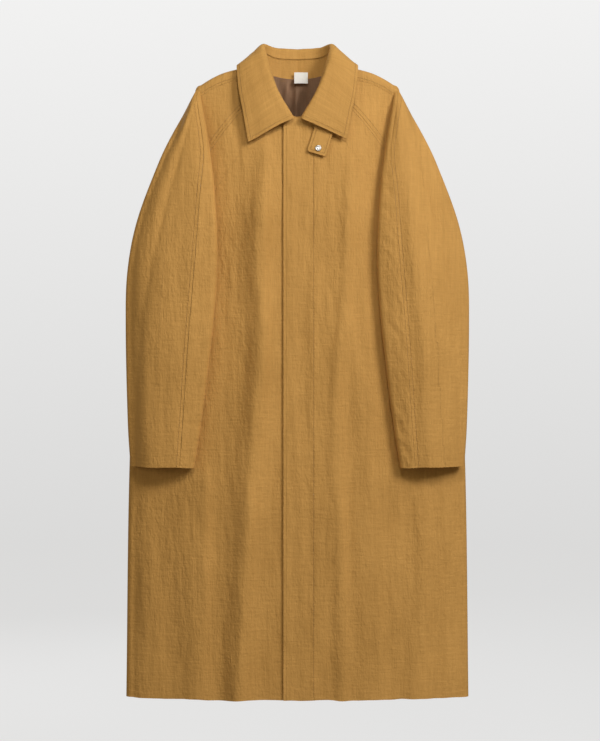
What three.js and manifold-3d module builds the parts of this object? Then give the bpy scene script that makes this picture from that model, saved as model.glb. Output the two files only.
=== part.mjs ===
// A long raglan car coat with a turn-down collar, a throat tab, a concealed button front and a satin lining.
// Millimetres, +Z up, +X to the wearer's left, -Y to the front. The coat hangs closed, its sleeves in front.
// The origin is the seat inside the shoulders that a clothes hanger carries.
import * as THREE from "three";
import { mergeVertices } from "three/addons/utils/BufferGeometryUtils.js";
import Module from "manifold-3d";

const wasm = await Module();
wasm.setup();

// ---------- driving dimensions ----------
const CLOTH = 1.4; // shell cloth with its interlining
const LINING = 0.8; // satin lining
const FACING = 0.8; // the same cloth as the shell, without interlining
const BAG = 1.2; // pocket bag, two layers pressed together
const SEAM = 0.5; // gap left at a seam between two pieces
const LAYER = 0.8; // gap between two layers of cloth
const FOLD = 14; // radius of the rounded side and shoulder folds of the body

const LENGTH = 1150; // hanger's seat to the hem
const HEM_WIDTH = 650;
const HEM = -LENGTH;

// Body outline: height, half width without the fold radius.
const SHOULDER_END = { x: 183, z: 3 }; // outer end of the shoulder line
const ARMPIT = { x: 256, z: -265 };
const HALF_WIDTHS = [
  [HEM, HEM_WIDTH / 2 - FOLD], [-715, 305], [-450, 292], [ARMPIT.z, ARMPIT.x],
  [SHOULDER_END.z, SHOULDER_END.x], [110, 154],
];
// How far the front and the back stand off the middle plane at the centre, without the fold radius.
const FRONT_DEPTHS = [[HEM, 44], [-715, 50], [-265, 50], [-150, 42], [-40, 30], [110, 30]];
const BACK_DEPTHS = [[HEM, 44], [-715, 46], [-265, 52], [-150, 50], [-40, 44], [110, 40]];
const SHOULDER_SLOPE = 0.27;
const SHOULDER_BULGE = { height: 5, reach: 110 }; // the shoulder line is a little convex
const SHOULDER_ROUND = 120; // height over which the chest and back round into the shoulder
const NECK_SIDE = 72; // half width of the neckline at the shoulder

// Neckline and raglan seams: half width, height.
const FRONT_NECK = -42; // centre front of the neckline
const FRONT_NECK_CORNER = { x: 57, z: 0 };
const BACK_NECK = 26; // centre back of the neckline
const BACK_NECK_CORNER = { x: 45, z: 31 };
const FRONT_RAGLAN = [
  [FRONT_NECK_CORNER.x, FRONT_NECK_CORNER.z], [109, -40], [159, -102], [210, -180], [ARMPIT.x, ARMPIT.z],
];
const BACK_RAGLAN = [
  [BACK_NECK_CORNER.x, BACK_NECK_CORNER.z], [100, -30], [159, -110], [210, -188], [ARMPIT.x, ARMPIT.z],
];

// Concealed front: the wearer's left laps over the right.
const FLAP_EDGE = -26; // free edge of the outer flap
const FLAP_STITCH = 30; // stitch line that the flap hangs from
const FLAP_FREE_TOP = -130; // the flap lifts below this height and is stitched down above it
const FLAP_TOP = -50;
const STRIP_SETBACK = 5; // from the flap's free edge to the buttonhole strip's
const UNDERLAP_EDGE = 24; // edge of the right front, under the flap
const UNDERLAP_DROP = 8; // how far the right front lies behind the flap
const UNDERLAP_START = 120; // distance from the centre where the right front starts to sink
const LEFT_FACING_WIDTH = 70;
const RIGHT_FACING_EDGE = 95;
const BUTTON = { count: 5, radius: 10, thickness: 2.2, shank: 1.1, top: -180, pitch: 180 };
const BUTTONHOLE_WIDTH = 3.4;

const VENT = { height: 420, lap: 48, under: 40 }; // lapped slit at the centre back
const LINING_HEM = 25; // how far the lining stops short of the hem

// Sleeves: height, then the x of the inner fold, of the outer fold and of the front seam.
const CUFF = -713;
const SLEEVE_TOP = -10;
const SLEEVE_INNER = [
  [CUFF, 192], [-630, 179], [-515, 164], [-387, 151.5], [-300, 149], [-190, 155], [-91, 168],
  [SLEEVE_TOP, 184],
];
const SLEEVE_OUTER = [
  [CUFF, 315], [-630, 320], [-450, 324], [-347, 321], [-251, 303], [-140, 263], [-85, 239], [SLEEVE_TOP, 201],
];
const SLEEVE_SEAM = [
  [CUFF, 220], [-586, 211], [-480, 204], [-324, 191], [-200, 182], [-120, 176], [SLEEVE_TOP, 192],
];
// Height, then half of the puff between the folds, and the radius of the folds.
const SLEEVE_DEPTHS = [[CUFF, 12], [-387, 17], [-250, 15], [-91, 8], [SLEEVE_TOP, 0.5]];
const SLEEVE_FOLDS = [[CUFF, 10], [-91, 10], [SLEEVE_TOP, 6.5]];
const SLEEVE_GAP = 3.5; // between the sleeve and the front of the body
const SLEEVE_ROWS = 13; // the lowest row is the cuff's turn-up
const UNDERARM_SEAM = -0.15; // where the underarm seam lies across the back of the sleeve, -1 to 1
const SEAM_SHARE = 0.012; // the seam gap, as a share of the sleeve's flat half width

// Pockets: slanted welts on the fronts, with the bags behind them.
const WELT = { top: { x: 152, z: -433 }, length: 165, width: 26, lean: 14 };
const POCKET_BAG = { x: 128, width: 118, bottom: -720, height: 270 };

// Collar and throat tab.
const COLLAR_PLY = 1.1;
const PLY_GAP = 0.4;
const STAND_SHARE = 0.72; // how far up the inside of the collar the stand's seam lies
const LEAF_START = 0.42; // where the moving leaf begins, as a share of the way round to the front
const LEAF_BULGE = 3;
const TAB = { width: 36, root: 6, snapReach: 84, beyondSnap: 11, x: 69, z: -26, standOff: 11 };
const TAB_LEAN = THREE.MathUtils.degToRad(17); // how far the tab hangs off the vertical
const TAB_CLOSED = THREE.MathUtils.degToRad(61); // its swing to the stud across the throat
const TAB_TILT = THREE.MathUtils.degToRad(-8); // lean of the chest that it lies on
const SNAP = {
  capRadius: 6, capHeight: 1.6, post: 1.6, play: 0.4, socketRadius: 4, socketBore: 2.6, socketHeight: 1.3,
  studTip: 1.8, studHeight: 3.4,
};
const LABEL = { x: 7, width: 26, height: 21, thickness: 0.8, rise: 11 };

// ---------- materials ----------
const shellCloth = new THREE.MeshStandardMaterial({ color: 0xbf9150, roughness: 0.85 });
const satin = new THREE.MeshStandardMaterial({ color: 0x6f5241, roughness: 0.4 });
const pocketing = new THREE.MeshStandardMaterial({ color: 0x8d7f6b, roughness: 0.9 });
const snapMetal = new THREE.MeshStandardMaterial({ color: 0xd9d6cf, roughness: 0.3, metalness: 1 });
const buttonHorn = new THREE.MeshStandardMaterial({ color: 0x5b3f25, roughness: 0.35 });
const labelTape = new THREE.MeshStandardMaterial({ color: 0xf0ece0, roughness: 0.9 });

// ---------- small helpers ----------
const { lerp, clamp } = THREE.MathUtils;
const SIDES = [["left", 1], ["right", -1]];
const coat = new THREE.Group();

function addMesh(name, geometry, material) {
  const mesh = new THREE.Mesh(geometry, material);
  mesh.name = name;
  coat.add(mesh);
  return mesh;
}

// A smooth curve through [key, value] pairs, read at any key between them.
function along(stations, key) {
  const last = stations.length - 1;
  const i = clamp(stations.findIndex(([k]) => k > key) - 1, 0, last - 1);
  const span = key >= stations[last][0] ? last - 1 : i;
  const [k0, v0] = stations[span];
  const [k1, v1] = stations[span + 1];
  const slope = (j) => {
    const [a, b] = [stations[Math.max(j - 1, 0)], stations[Math.min(j + 1, last)]];
    return (b[1] - a[1]) / (b[0] - a[0]);
  };
  const t = clamp((key - k0) / (k1 - k0), 0, 1);
  const h = k1 - k0;
  const [t2, t3] = [t * t, t * t * t];
  return (
    (2 * t3 - 3 * t2 + 1) * v0 + (t3 - 2 * t2 + t) * h * slope(span) +
    (3 * t2 - 2 * t3) * v1 + (t3 - t2) * h * slope(span + 1)
  );
}

// The height where a column of the cloth meets a seam: solves z = seam(x(z)).
function meet(seam, columnX) {
  let [low, high] = [HEM - 1, HALF_WIDTHS.at(-1)[0]];
  for (let step = 0; step < 40; step++) {
    const middle = (low + high) / 2;
    if (middle < seam(Math.abs(columnX(middle)))) low = middle;
    else high = middle;
  }
  return (low + high) / 2;
}

function merged(geometry) {
  geometry.deleteAttribute("normal");
  geometry.deleteAttribute("uv");
  return mergeVertices(geometry, 1e-4);
}

// Turns a closed mesh's faces outwards if its volume comes out negative.
function facingOut(geometry) {
  const position = geometry.getAttribute("position");
  const index = geometry.index.array;
  const [a, b, c] = [0, 1, 2].map(() => new THREE.Vector3());
  let volume = 0;
  for (let i = 0; i < index.length; i += 3) {
    a.fromBufferAttribute(position, index[i]);
    b.fromBufferAttribute(position, index[i + 1]);
    c.fromBufferAttribute(position, index[i + 2]);
    volume += a.dot(b.cross(c));
  }
  if (volume < 0) {
    for (let i = 0; i < index.length; i += 3) [index[i + 1], index[i + 2]] = [index[i + 2], index[i + 1]];
  }
  return geometry;
}

// A sheet of cloth: a flat box, bent by place(column, row, depth), with depth 0 outside and 1 inside.
// Both faces are split along the same diagonals, so that layered sheets stay parallel.
function sheet(columns, rows, place) {
  const box = merged(new THREE.BoxGeometry(1, 1, 1, columns, 1, rows));
  const { start, count } = box.groups[3];
  for (let i = start; i < start + count; i += 6) {
    const [a, b, d, , c] = box.index.array.slice(i, i + 6);
    box.index.array.set([a, b, c, a, c, d], i);
  }
  const position = box.getAttribute("position");
  for (let i = 0; i < position.count; i++) {
    const column = Math.round((position.getX(i) + 0.5) * columns);
    const row = Math.round((position.getZ(i) + 0.5) * rows);
    position.setXYZ(i, ...place(column, row, position.getY(i) + 0.5));
  }
  return facingOut(box);
}

function solidOf(geometry) {
  const triVerts = new Uint32Array(geometry.index.array);
  return new wasm.Manifold(
    new wasm.Mesh({ numProp: 3, vertProperties: geometry.getAttribute("position").array, triVerts }),
  );
}

function geometryOf(solid) {
  const mesh = solid.getMesh();
  return new THREE.BufferGeometry()
    .setAttribute("position", new THREE.BufferAttribute(mesh.vertProperties, 3))
    .setIndex(new THREE.BufferAttribute(mesh.triVerts, 1));
}

// The geometry with each tool cut out of it.
function cut(geometry, ...tools) {
  return geometryOf(tools.reduce((solid, tool) => solid.subtract(solidOf(tool)), solidOf(geometry)));
}

function block(width, depth, height, x, y, z) {
  return merged(new THREE.BoxGeometry(width, depth, height)).translate(x, y, z);
}

// ---------- the body's shape ----------
const halfWidth = (z) => along(HALF_WIDTHS, z);
const shoulderLine = (x) => {
  const inward = SHOULDER_END.x - Math.abs(x);
  const { height, reach } = SHOULDER_BULGE;
  const bulge = height * Math.sin((Math.PI * clamp(inward, 0, reach)) / reach);
  return SHOULDER_END.z + inward * SHOULDER_SLOPE + bulge;
};
const frontNeckline = (x) =>
  x < FRONT_NECK_CORNER.x
    ? lerp(FRONT_NECK, FRONT_NECK_CORNER.z, (x / FRONT_NECK_CORNER.x) ** 1.6)
    : along(FRONT_RAGLAN, x);
const backNeckline = (x) =>
  x < BACK_NECK_CORNER.x
    ? lerp(BACK_NECK, BACK_NECK_CORNER.z, (x / BACK_NECK_CORNER.x) ** 2)
    : along(BACK_RAGLAN, x);

// How far the body stands off its middle plane, without the fold radius. Face is -1 in front and 1 behind.
function bodyDepth(face, x, z) {
  const depth = along(face < 0 ? FRONT_DEPTHS : BACK_DEPTHS, z);
  const across = clamp(1 - (x / halfWidth(z)) ** 2, 0, 1) ** 0.8;
  const shoulder = Math.sin((Math.PI / 2) * clamp((shoulderLine(x) - z) / SHOULDER_ROUND, 0, 1));
  return depth * across * shoulder;
}

// A point on the body's skin, inset from the outside. The turns carry it round the side and shoulder folds.
function bodyPoint(face, side, x, z, inset, sideTurn = 0, topTurn = 0) {
  const radius = FOLD - inset;
  return [
    x + side * radius * Math.sin(sideTurn),
    face * (bodyDepth(face, x, z) + radius * Math.cos(sideTurn) * Math.cos(topTurn)),
    z + radius * Math.cos(sideTurn) * Math.sin(topTurn),
  ];
}

const FOLD_TURNS = [45, 88.8].map(THREE.MathUtils.degToRad);
const ROW_CROWDING = 1.5; // the rows crowd together towards the shoulders

// A piece of the body between two seams. Columns run from inner(z) to outer(z), rows from bottom to top(x).
function bodySheet({
  face, side, inner, outer = halfWidth, bottom = () => HEM, top, inset, thickness,
  columns = 8, rows = 11, crowding = ROW_CROWDING, sideFold = false, topFold = false,
}) {
  const acrossStops = [
    ...Array.from({ length: columns + 1 }, (_, i) => ({ share: i / columns, turn: 0 })),
    ...(sideFold ? FOLD_TURNS.map((turn) => ({ share: 1, turn })) : []),
  ];
  const upStops = [
    ...Array.from({ length: rows + 1 }, (_, i) => ({ share: 1 - (1 - i / rows) ** crowding, turn: 0 })),
    ...(topFold ? FOLD_TURNS.map((turn) => ({ share: 1, turn })) : []),
  ];
  return sheet(acrossStops.length - 1, upStops.length - 1, (column, row, depth) => {
    const [across, up] = [acrossStops[column], upStops[row]];
    const columnX = (z) => lerp(inner(z), outer(z), across.share);
    const z = lerp(meet(bottom, columnX), meet(top, columnX), up.share);
    const x = side * columnX(z);
    const laid = typeof inset === "function" ? inset(x, z) : inset;
    return bodyPoint(face, side, x, z, laid + depth * thickness, across.turn, up.turn);
  });
}

const lower = (seam, by) => (x) => seam(x) - by;
const lowerBy = (seam) => lower(seam, SEAM);

// ---------- shell of the body ----------
const FACING_INSET = CLOTH + LAYER;
const LINING_INSET = FACING_INSET + BAG + 3 * LAYER;
const STRIP_INSET = UNDERLAP_DROP - 1.5 * LAYER - FACING;

// The right front sinks behind the flap as it nears the centre.
const rightInset = (x) => UNDERLAP_DROP * THREE.MathUtils.smoothstep(x, -UNDERLAP_START, FLAP_EDGE - 4);

addMesh("front_panel_left", bodySheet({
  face: -1, side: 1, inner: () => FLAP_STITCH + SEAM, top: lowerBy(frontNeckline),
  inset: 0, thickness: CLOTH, sideFold: true,
}), shellCloth);

addMesh("front_panel_right", bodySheet({
  face: -1, side: -1, inner: () => -UNDERLAP_EDGE, top: lowerBy(frontNeckline),
  inset: rightInset, thickness: CLOTH, columns: 12, sideFold: true,
}), shellCloth);

const VENT_TOP = HEM + VENT.height;
const backFace = along(BACK_DEPTHS, VENT_TOP) + FOLD;
const ventCut = block(
  2 * (VENT.lap + SEAM), 4 * FOLD, 2 * VENT.height, 0, backFace, HEM,
);
addMesh("back_panel_left", cut(bodySheet({
  face: 1, side: 1, inner: () => SEAM / 2, top: lowerBy(backNeckline),
  inset: 0, thickness: CLOTH, sideFold: true,
}), ventCut), shellCloth);

addMesh("back_panel_right", bodySheet({
  face: 1, side: -1, inner: () => SEAM / 2, top: lowerBy(backNeckline),
  inset: 0, thickness: CLOTH, sideFold: true,
}), shellCloth);

addMesh("vent_flap", bodySheet({
  face: 1, side: 1, inner: () => SEAM, outer: () => VENT.lap, top: () => VENT_TOP - SEAM,
  inset: 0, thickness: CLOTH, columns: 3, rows: 4,
}), shellCloth);

addMesh("vent_underlap", bodySheet({
  face: 1, side: 1, inner: () => SEAM, outer: () => VENT.under, top: () => VENT_TOP - SEAM,
  inset: FACING_INSET, thickness: FACING, columns: 3, rows: 4,
}), shellCloth);

// The yokes: the tops of the raglan sleeves, front and back, from the raglan seam to the shoulder line.
for (const [word, side] of SIDES) {
  const places = [["front", -1, FRONT_NECK_CORNER, FRONT_RAGLAN], ["back", 1, BACK_NECK_CORNER, BACK_RAGLAN]];
  for (const [place, face, corner, raglan] of places) {
    const toShoulder = (z) => clamp((z - corner.z) / (shoulderLine(NECK_SIDE) - corner.z), 0, 1);
    addMesh(`yoke_${place}_${word}`, bodySheet({
      face, side, inner: (z) => lerp(corner.x, NECK_SIDE, toShoulder(z)) + SEAM,
      bottom: (x) => along(raglan, x) + SEAM, top: shoulderLine, inset: 0, thickness: CLOTH,
      columns: 7, rows: 5, crowding: 1, sideFold: true, topFold: true,
    }), shellCloth);
  }
}

// ---------- concealed button front ----------
addMesh("fly_flap", bodySheet({
  face: -1, side: 1, inner: () => FLAP_EDGE, outer: () => FLAP_STITCH, top: () => FLAP_FREE_TOP,
  inset: 0, thickness: CLOTH, columns: 3, rows: 8,
}), shellCloth);

addMesh("fly_top", bodySheet({
  face: -1, side: 1, inner: () => FLAP_EDGE, outer: () => FLAP_STITCH, bottom: () => FLAP_FREE_TOP + SEAM,
  top: () => FLAP_TOP, inset: 0, thickness: CLOTH, columns: 3, rows: 3, crowding: 1,
}), shellCloth);

const buttonHeights = Array.from({ length: BUTTON.count }, (_, i) => BUTTON.top - i * BUTTON.pitch);
const buttonholes = buttonHeights.map((z) =>
  block(BUTTONHOLE_WIDTH, 4 * FOLD, 2 * (BUTTON.radius + 2), 0, -bodyDepth(-1, 0, z) - FOLD, z));
addMesh("buttonhole_strip", cut(bodySheet({
  face: -1, side: 1, inner: () => FLAP_EDGE + STRIP_SETBACK, outer: () => FLAP_STITCH - SEAM,
  top: () => FLAP_FREE_TOP, inset: STRIP_INSET, thickness: FACING, columns: 3, rows: 12,
}), ...buttonholes), shellCloth);

// A button with its thread shank, turned about its own axis, leaned like the front at its height.
function buttonGeometry(z) {
  const { radius, thickness, shank } = BUTTON;
  const behind = UNDERLAP_DROP - CLOTH - LAYER - SEAM;
  const profile = [
    [0, 0], [radius - 0.6, 0], [radius, 0.6], [radius, thickness], [shank, thickness], [shank, behind],
    [0, behind],
  ].map(([r, y]) => new THREE.Vector2(r, y));
  const lean = Math.atan((bodyDepth(-1, 0, z + radius) - bodyDepth(-1, 0, z - radius)) / (2 * radius));
  const front = bodyDepth(-1, 0, z) + FOLD - CLOTH - LAYER;
  return facingOut(merged(new THREE.LatheGeometry(profile, 12))).rotateX(lean).translate(0, -front, z);
}

buttonHeights.forEach((z, i) => addMesh(`button_${i + 1}`, buttonGeometry(z), buttonHorn));

addMesh("front_facing_right", bodySheet({
  face: -1, side: -1, inner: () => -UNDERLAP_EDGE, outer: () => RIGHT_FACING_EDGE,
  top: lower(frontNeckline, 2), inset: (x) => rightInset(x) + FACING_INSET + LAYER / 2,
  thickness: FACING, columns: 6,
}), shellCloth);

addMesh("front_facing_left", bodySheet({
  face: -1, side: 1, inner: () => FLAP_STITCH + SEAM, outer: () => FLAP_STITCH + LEFT_FACING_WIDTH,
  top: lower(frontNeckline, 2), inset: FACING_INSET, thickness: FACING, columns: 3,
}), shellCloth);

// ---------- lining ----------
// The back lining ends at the neckline, then follows the shoulder line.
function backLiningTop(x) {
  if (x < BACK_NECK_CORNER.x) return backNeckline(x) - 2;
  const toShoulder = (x - BACK_NECK_CORNER.x) / (NECK_SIDE - BACK_NECK_CORNER.x);
  const neckEdge = lerp(BACK_NECK_CORNER.z, shoulderLine(NECK_SIDE), clamp(toShoulder, 0, 1));
  return (x < NECK_SIDE + 4 ? Math.min(neckEdge, shoulderLine(x)) : shoulderLine(x)) - 2;
}

for (const [word, side] of SIDES) {
  addMesh(`lining_back_${word}`, bodySheet({
    face: 1, side, inner: () => SEAM / 2, bottom: () => HEM + LINING_HEM, top: backLiningTop,
    inset: LINING_INSET, thickness: LINING, sideFold: true,
  }), satin);
  const facingEdge = (side > 0 ? FLAP_STITCH + LEFT_FACING_WIDTH : RIGHT_FACING_EDGE) + SEAM;
  addMesh(`lining_front_${word}`, bodySheet({
    face: -1, side, inner: () => facingEdge, bottom: () => HEM + LINING_HEM, top: lower(shoulderLine, 4),
    inset: (x) => LINING_INSET + (side < 0 ? rightInset(x) : 0), thickness: LINING, columns: 6, sideFold: true,
  }), satin);
}

// ---------- pockets ----------
// Across is measured from the welt's edge near the centre, down from its top.
function weltPoint(side, across, down, inset) {
  const lean = THREE.MathUtils.degToRad(WELT.lean);
  const x = WELT.top.x + across * Math.cos(lean) + down * Math.sin(lean);
  const z = WELT.top.z + across * Math.sin(lean) - down * Math.cos(lean);
  return bodyPoint(-1, side, side * x, z, inset);
}

for (const [word, side] of SIDES) {
  const welt = sheet(2, 6, (column, row, depth) =>
    weltPoint(side, (column / 2) * WELT.width, (row / 6) * WELT.length, (depth - 1) * BAG - LAYER));
  addMesh(`pocket_welt_${word}`, welt, shellCloth);
  addMesh(`pocket_bag_${word}`, bodySheet({
    face: -1, side, inner: () => POCKET_BAG.x, outer: () => POCKET_BAG.x + POCKET_BAG.width,
    bottom: () => POCKET_BAG.bottom, top: () => POCKET_BAG.bottom + POCKET_BAG.height,
    inset: FACING_INSET, thickness: BAG, columns: 4, rows: 4,
  }), pocketing);
}

// ---------- sleeves ----------
// A point of the sleeve's skin. Across runs from -1 at the inner fold to 1 at the outer, and the turn goes
// from 0 on the front to pi behind.
function sleevePoint(side, across, turn, z, inset) {
  const fold = along(SLEEVE_FOLDS, z);
  const [inner, outer] = [along(SLEEVE_INNER, z), along(SLEEVE_OUTER, z)];
  const flat = Math.max((outer - inner) / 2 - fold, 0.6);
  const x = (inner + outer) / 2 + across * flat;
  const puff = turn < Math.PI / 2 ? 2 * along(SLEEVE_DEPTHS, z) * (1 - across * across) : 0;
  const behind = bodyDepth(-1, Math.min(x, halfWidth(z)), z) + FOLD + SLEEVE_GAP + fold;
  const radius = fold - inset;
  return [
    side * (x + Math.sign(across) * radius * Math.sin(turn)),
    -(behind + puff) - radius * Math.cos(turn),
    z,
  ];
}

const seamShare = (z) => {
  const flat = (along(SLEEVE_OUTER, z) - along(SLEEVE_INNER, z)) / 2 - along(SLEEVE_FOLDS, z);
  const middle = (along(SLEEVE_OUTER, z) + along(SLEEVE_INNER, z)) / 2;
  return clamp((along(SLEEVE_SEAM, z) - middle) / Math.max(flat, 0.6), -0.9, 0.9);
};

// Stops round the sleeve from the seam on the front, past one fold, to the underarm seam behind.
// End is -1 for the inner fold and 1 for the outer.
function sleeveStops(end, gap, frontSteps, backSteps) {
  const start = (z) => seamShare(z) + end * gap;
  const front = Array.from({ length: frontSteps }, (_, i) => (z) => ({
    across: lerp(start(z), end, i / frontSteps), turn: 0,
  }));
  const rim = [0, 60, 120].map((degrees) => () => ({ across: end, turn: THREE.MathUtils.degToRad(degrees) }));
  const back = Array.from({ length: backSteps + 1 }, (_, i) => () => ({
    across: lerp(end, UNDERARM_SEAM + end * SEAM_SHARE, i / backSteps), turn: Math.PI,
  }));
  return [...front, ...rim, ...back];
}

const sleeveHeight = (row) => lerp(CUFF, SLEEVE_TOP, row / SLEEVE_ROWS);

function sleeveSheet({ side, stops, bottom = 0, top = SLEEVE_ROWS, trim = 0, inset, thickness }) {
  return sheet(stops.length - 1, top - bottom, (column, row, depth) => {
    const z = clamp(sleeveHeight(bottom + row), sleeveHeight(bottom) + trim, sleeveHeight(top) - trim);
    const { across, turn } = stops[column](z);
    return sleevePoint(side, across, turn, z, inset + depth * thickness);
  });
}

for (const [word, side] of SIDES) {
  addMesh(`sleeve_back_${word}`, sleeveSheet({
    side, stops: sleeveStops(1, SEAM_SHARE, 4, 3), inset: 0, thickness: CLOTH,
  }), shellCloth);
  addMesh(`sleeve_front_${word}`, sleeveSheet({
    side, stops: sleeveStops(-1, SEAM_SHARE, 2, 2), inset: 0, thickness: CLOTH,
  }), shellCloth);
  // The turn-up and the lining go all the way round, from one side of the underarm seam to the other.
  const round = [...sleeveStops(-1, 0, 2, 2).reverse(), ...sleeveStops(1, 0, 4, 3).slice(1)];
  addMesh(`cuff_turn_up_${word}`, sleeveSheet({
    side, stops: round, top: 1, trim: SEAM, inset: CLOTH + LAYER, thickness: FACING,
  }), shellCloth);
  addMesh(`sleeve_lining_${word}`, sleeveSheet({
    side, stops: round, bottom: 1, top: SLEEVE_ROWS - 1, trim: SEAM, inset: CLOTH + LAYER, thickness: LINING,
  }), satin);
}

// ---------- collar ----------
// Half of each loop, from the centre back round the neck to the front end. Each point is its share of the
// neckline's half width, its depth, and its height over the ridge of the shoulder beside the neck.
const RIDGE = shoulderLine(NECK_SIDE) + FOLD;
const neckLoop = (points) =>
  new THREE.CatmullRomCurve3(
    points.map(([share, y, rise]) => new THREE.Vector3(share * NECK_SIDE, y, RIDGE + rise)),
    false, "centripetal",
  );
const NECK_SEAM = neckLoop([
  [0, 28, -18], [0.62, 19, -12], [0.92, 4, 2], [0.92, -10, -3], [0.74, -25, -40], [0.45, -35, -67],
  [0.13, -38, -82],
]);
const ROLL_LINE = neckLoop([
  [0, 34, 30], [0.56, 28, 34], [0.85, 6, 41], [0.81, -16, 16], [0.7, -28, -9], [0.5, -36, -45],
  [0.13, -42, -80],
]);
const FALL_START = neckLoop([
  [0, 40, 33], [0.6, 35, 37], [0.94, 8, 43], [0.92, -20, 18], [0.79, -36, -8], [0.56, -50, -42],
  [0.14, -56, -84],
]);
const COLLAR_EDGE = neckLoop([
  [0, 47, -24], [0.86, 42, -19], [1.5, 24, -5], [1.64, -12, -1], [1.56, -40, -54], [1.43, -50, -90],
  [1.29, -54, -135],
]);

// A strip between two loops, with the depth measured along its own normal and a bulge half way across.
function collarSheet({ side, from, to, start, end, bulge, depths, columns, rows, low = 0, high = 1 }) {
  const surface = (column, row) => {
    const share = clamp(lerp(start, end, column / columns), 0, 1);
    const up = lerp(low, high, row / rows);
    const [a, b] = [from.getPoint(share), to.getPoint(share)];
    const point = a.clone().lerp(b, up);
    const outward = new THREE.Vector3(point.x, point.y * 1.6, 0).normalize();
    return point.addScaledVector(outward, bulge * Math.sin(Math.PI * up));
  };
  const step = 0.05;
  return sheet(columns, rows, (column, row, depth) => {
    const [left, right] = [Math.max(column - step, 0), Math.min(column + step, columns)];
    const [below, above] = [Math.max(row - step, 0), Math.min(row + step, rows)];
    const across = surface(right, row).sub(surface(left, row));
    const up = surface(column, above).sub(surface(column, below));
    const normal = across.cross(up).normalize();
    const point = surface(column, row).addScaledVector(normal, lerp(depths[0], depths[1], depth));
    return [side * point.x, point.y, point.z];
  });
}

for (const [word, side] of SIDES) {
  const stand = {
    side, from: NECK_SEAM, to: ROLL_LINE, start: 0.004, end: 0.95, bulge: 0,
    depths: [0, CLOTH], columns: 12, rows: 1,
  };
  addMesh(`collar_stand_${word}`, collarSheet({ ...stand, high: STAND_SHARE - 0.03 }), shellCloth);
  addMesh(`collar_roll_${word}`, collarSheet({ ...stand, low: STAND_SHARE + 0.03 }), shellCloth);
  for (const [ply, outwards] of [["under_collar", -1], ["upper_collar", 1]]) {
    const depths = [(outwards * PLY_GAP) / 2, outwards * (PLY_GAP / 2 + COLLAR_PLY)];
    const fall = { side, from: FALL_START, to: COLLAR_EDGE, bulge: LEAF_BULGE, depths };
    addMesh(`${ply}_back_${word}`, collarSheet({
      ...fall, start: 0.004, end: LEAF_START - 0.008, columns: 6, rows: 2,
    }), shellCloth);
    addMesh(`${ply}_leaf_${word}`, collarSheet({
      ...fall, start: LEAF_START, end: 1, columns: 8, rows: 3,
    }), shellCloth);
  }
}

// ---------- throat tab ----------
// Drawn flat, pointing down from its pivot, then leaned and tilted onto the chest.
const tabY = -bodyDepth(-1, TAB.x, TAB.z) - FOLD - TAB.standOff;

function onTab(geometry, swing = 0) {
  return geometry.rotateY(TAB_LEAN + swing).rotateX(TAB_TILT).translate(TAB.x, tabY, TAB.z);
}

// A round piece at the snap, turned about the snap's own axis.
function atSnap(profile) {
  const points = profile.map(([r, y]) => new THREE.Vector2(r, y));
  return facingOut(merged(new THREE.LatheGeometry(points, 16))).translate(0, 0, -TAB.snapReach);
}

const tabLength = TAB.root + TAB.snapReach + TAB.beyondSnap;
const tabFace = PLY_GAP / 2 + COLLAR_PLY; // from the middle of the tab to either face
const holeRadius = SNAP.post + SNAP.play;
const holeEnd = 2 * tabFace;
const postHole = atSnap([[0, -holeEnd], [holeRadius, -holeEnd], [holeRadius, holeEnd], [0, holeEnd]]);
for (const [name, behind] of [["throat_tab_outer", -1], ["throat_tab_inner", 1]]) {
  const middle = (behind * (PLY_GAP + COLLAR_PLY)) / 2;
  const ply = block(TAB.width, COLLAR_PLY, tabLength, 0, middle, TAB.root - tabLength / 2);
  addMesh(name, onTab(cut(ply, postHole)), shellCloth);
}

const capFoot = -tabFace - SNAP.play;
addMesh("snap_cap", onTab(atSnap([
  [0, capFoot - SNAP.capHeight], [SNAP.capRadius * 0.7, capFoot - SNAP.capHeight],
  [SNAP.capRadius, capFoot - SNAP.capHeight / 2], [SNAP.capRadius, capFoot], [SNAP.post, capFoot],
  [SNAP.post, tabFace], [0, tabFace],
])), snapMetal);

const socketFoot = tabFace + SNAP.play;
const socketTop = socketFoot + SNAP.socketHeight;
addMesh("snap_socket", onTab(atSnap([
  [SNAP.socketBore, socketFoot], [SNAP.socketRadius, socketFoot], [SNAP.socketRadius, socketTop],
  [SNAP.socketBore, socketTop], [SNAP.socketBore, socketFoot],
])), snapMetal);

// The stud stands on the right front and meets the socket when the tab is swung across the throat.
const studShoulder = socketTop + SNAP.play;
const studFoot = studShoulder + SNAP.studHeight;
addMesh("snap_stud", onTab(atSnap([
  [0, socketFoot + SNAP.play], [SNAP.studTip, socketFoot + SNAP.play], [SNAP.studTip, studShoulder],
  [SNAP.socketRadius, studShoulder], [SNAP.socketRadius, studFoot], [0, studFoot],
]), TAB_CLOSED), snapMetal);

// ---------- label ----------
const labelZ = BACK_NECK + LABEL.rise - LABEL.height / 2;
const labelY = bodyDepth(1, LABEL.x, BACK_NECK) + FOLD - LINING_INSET - LINING - LABEL.thickness - 2 * LAYER;
addMesh("neck_label", block(LABEL.width, LABEL.thickness, LABEL.height, LABEL.x, labelY, labelZ), labelTape);

export default coat;
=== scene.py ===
# %% [markdown]
# # Raglan car coat
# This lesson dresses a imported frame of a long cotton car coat: raglan sleeves, a pointed turn-down collar,
# a throat tab with a snap, a concealed button front and a brown satin lining. Each cell makes one part of
# the coat, the way a tailor would: first the shape that all the cloth follows, then the cut pieces, then
# the stitching. All lengths in the tables are millimetres and become metres when a point is placed.

import math

import bmesh
import bpy
import numpy as np
from mathutils import Matrix, Vector, noise


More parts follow.
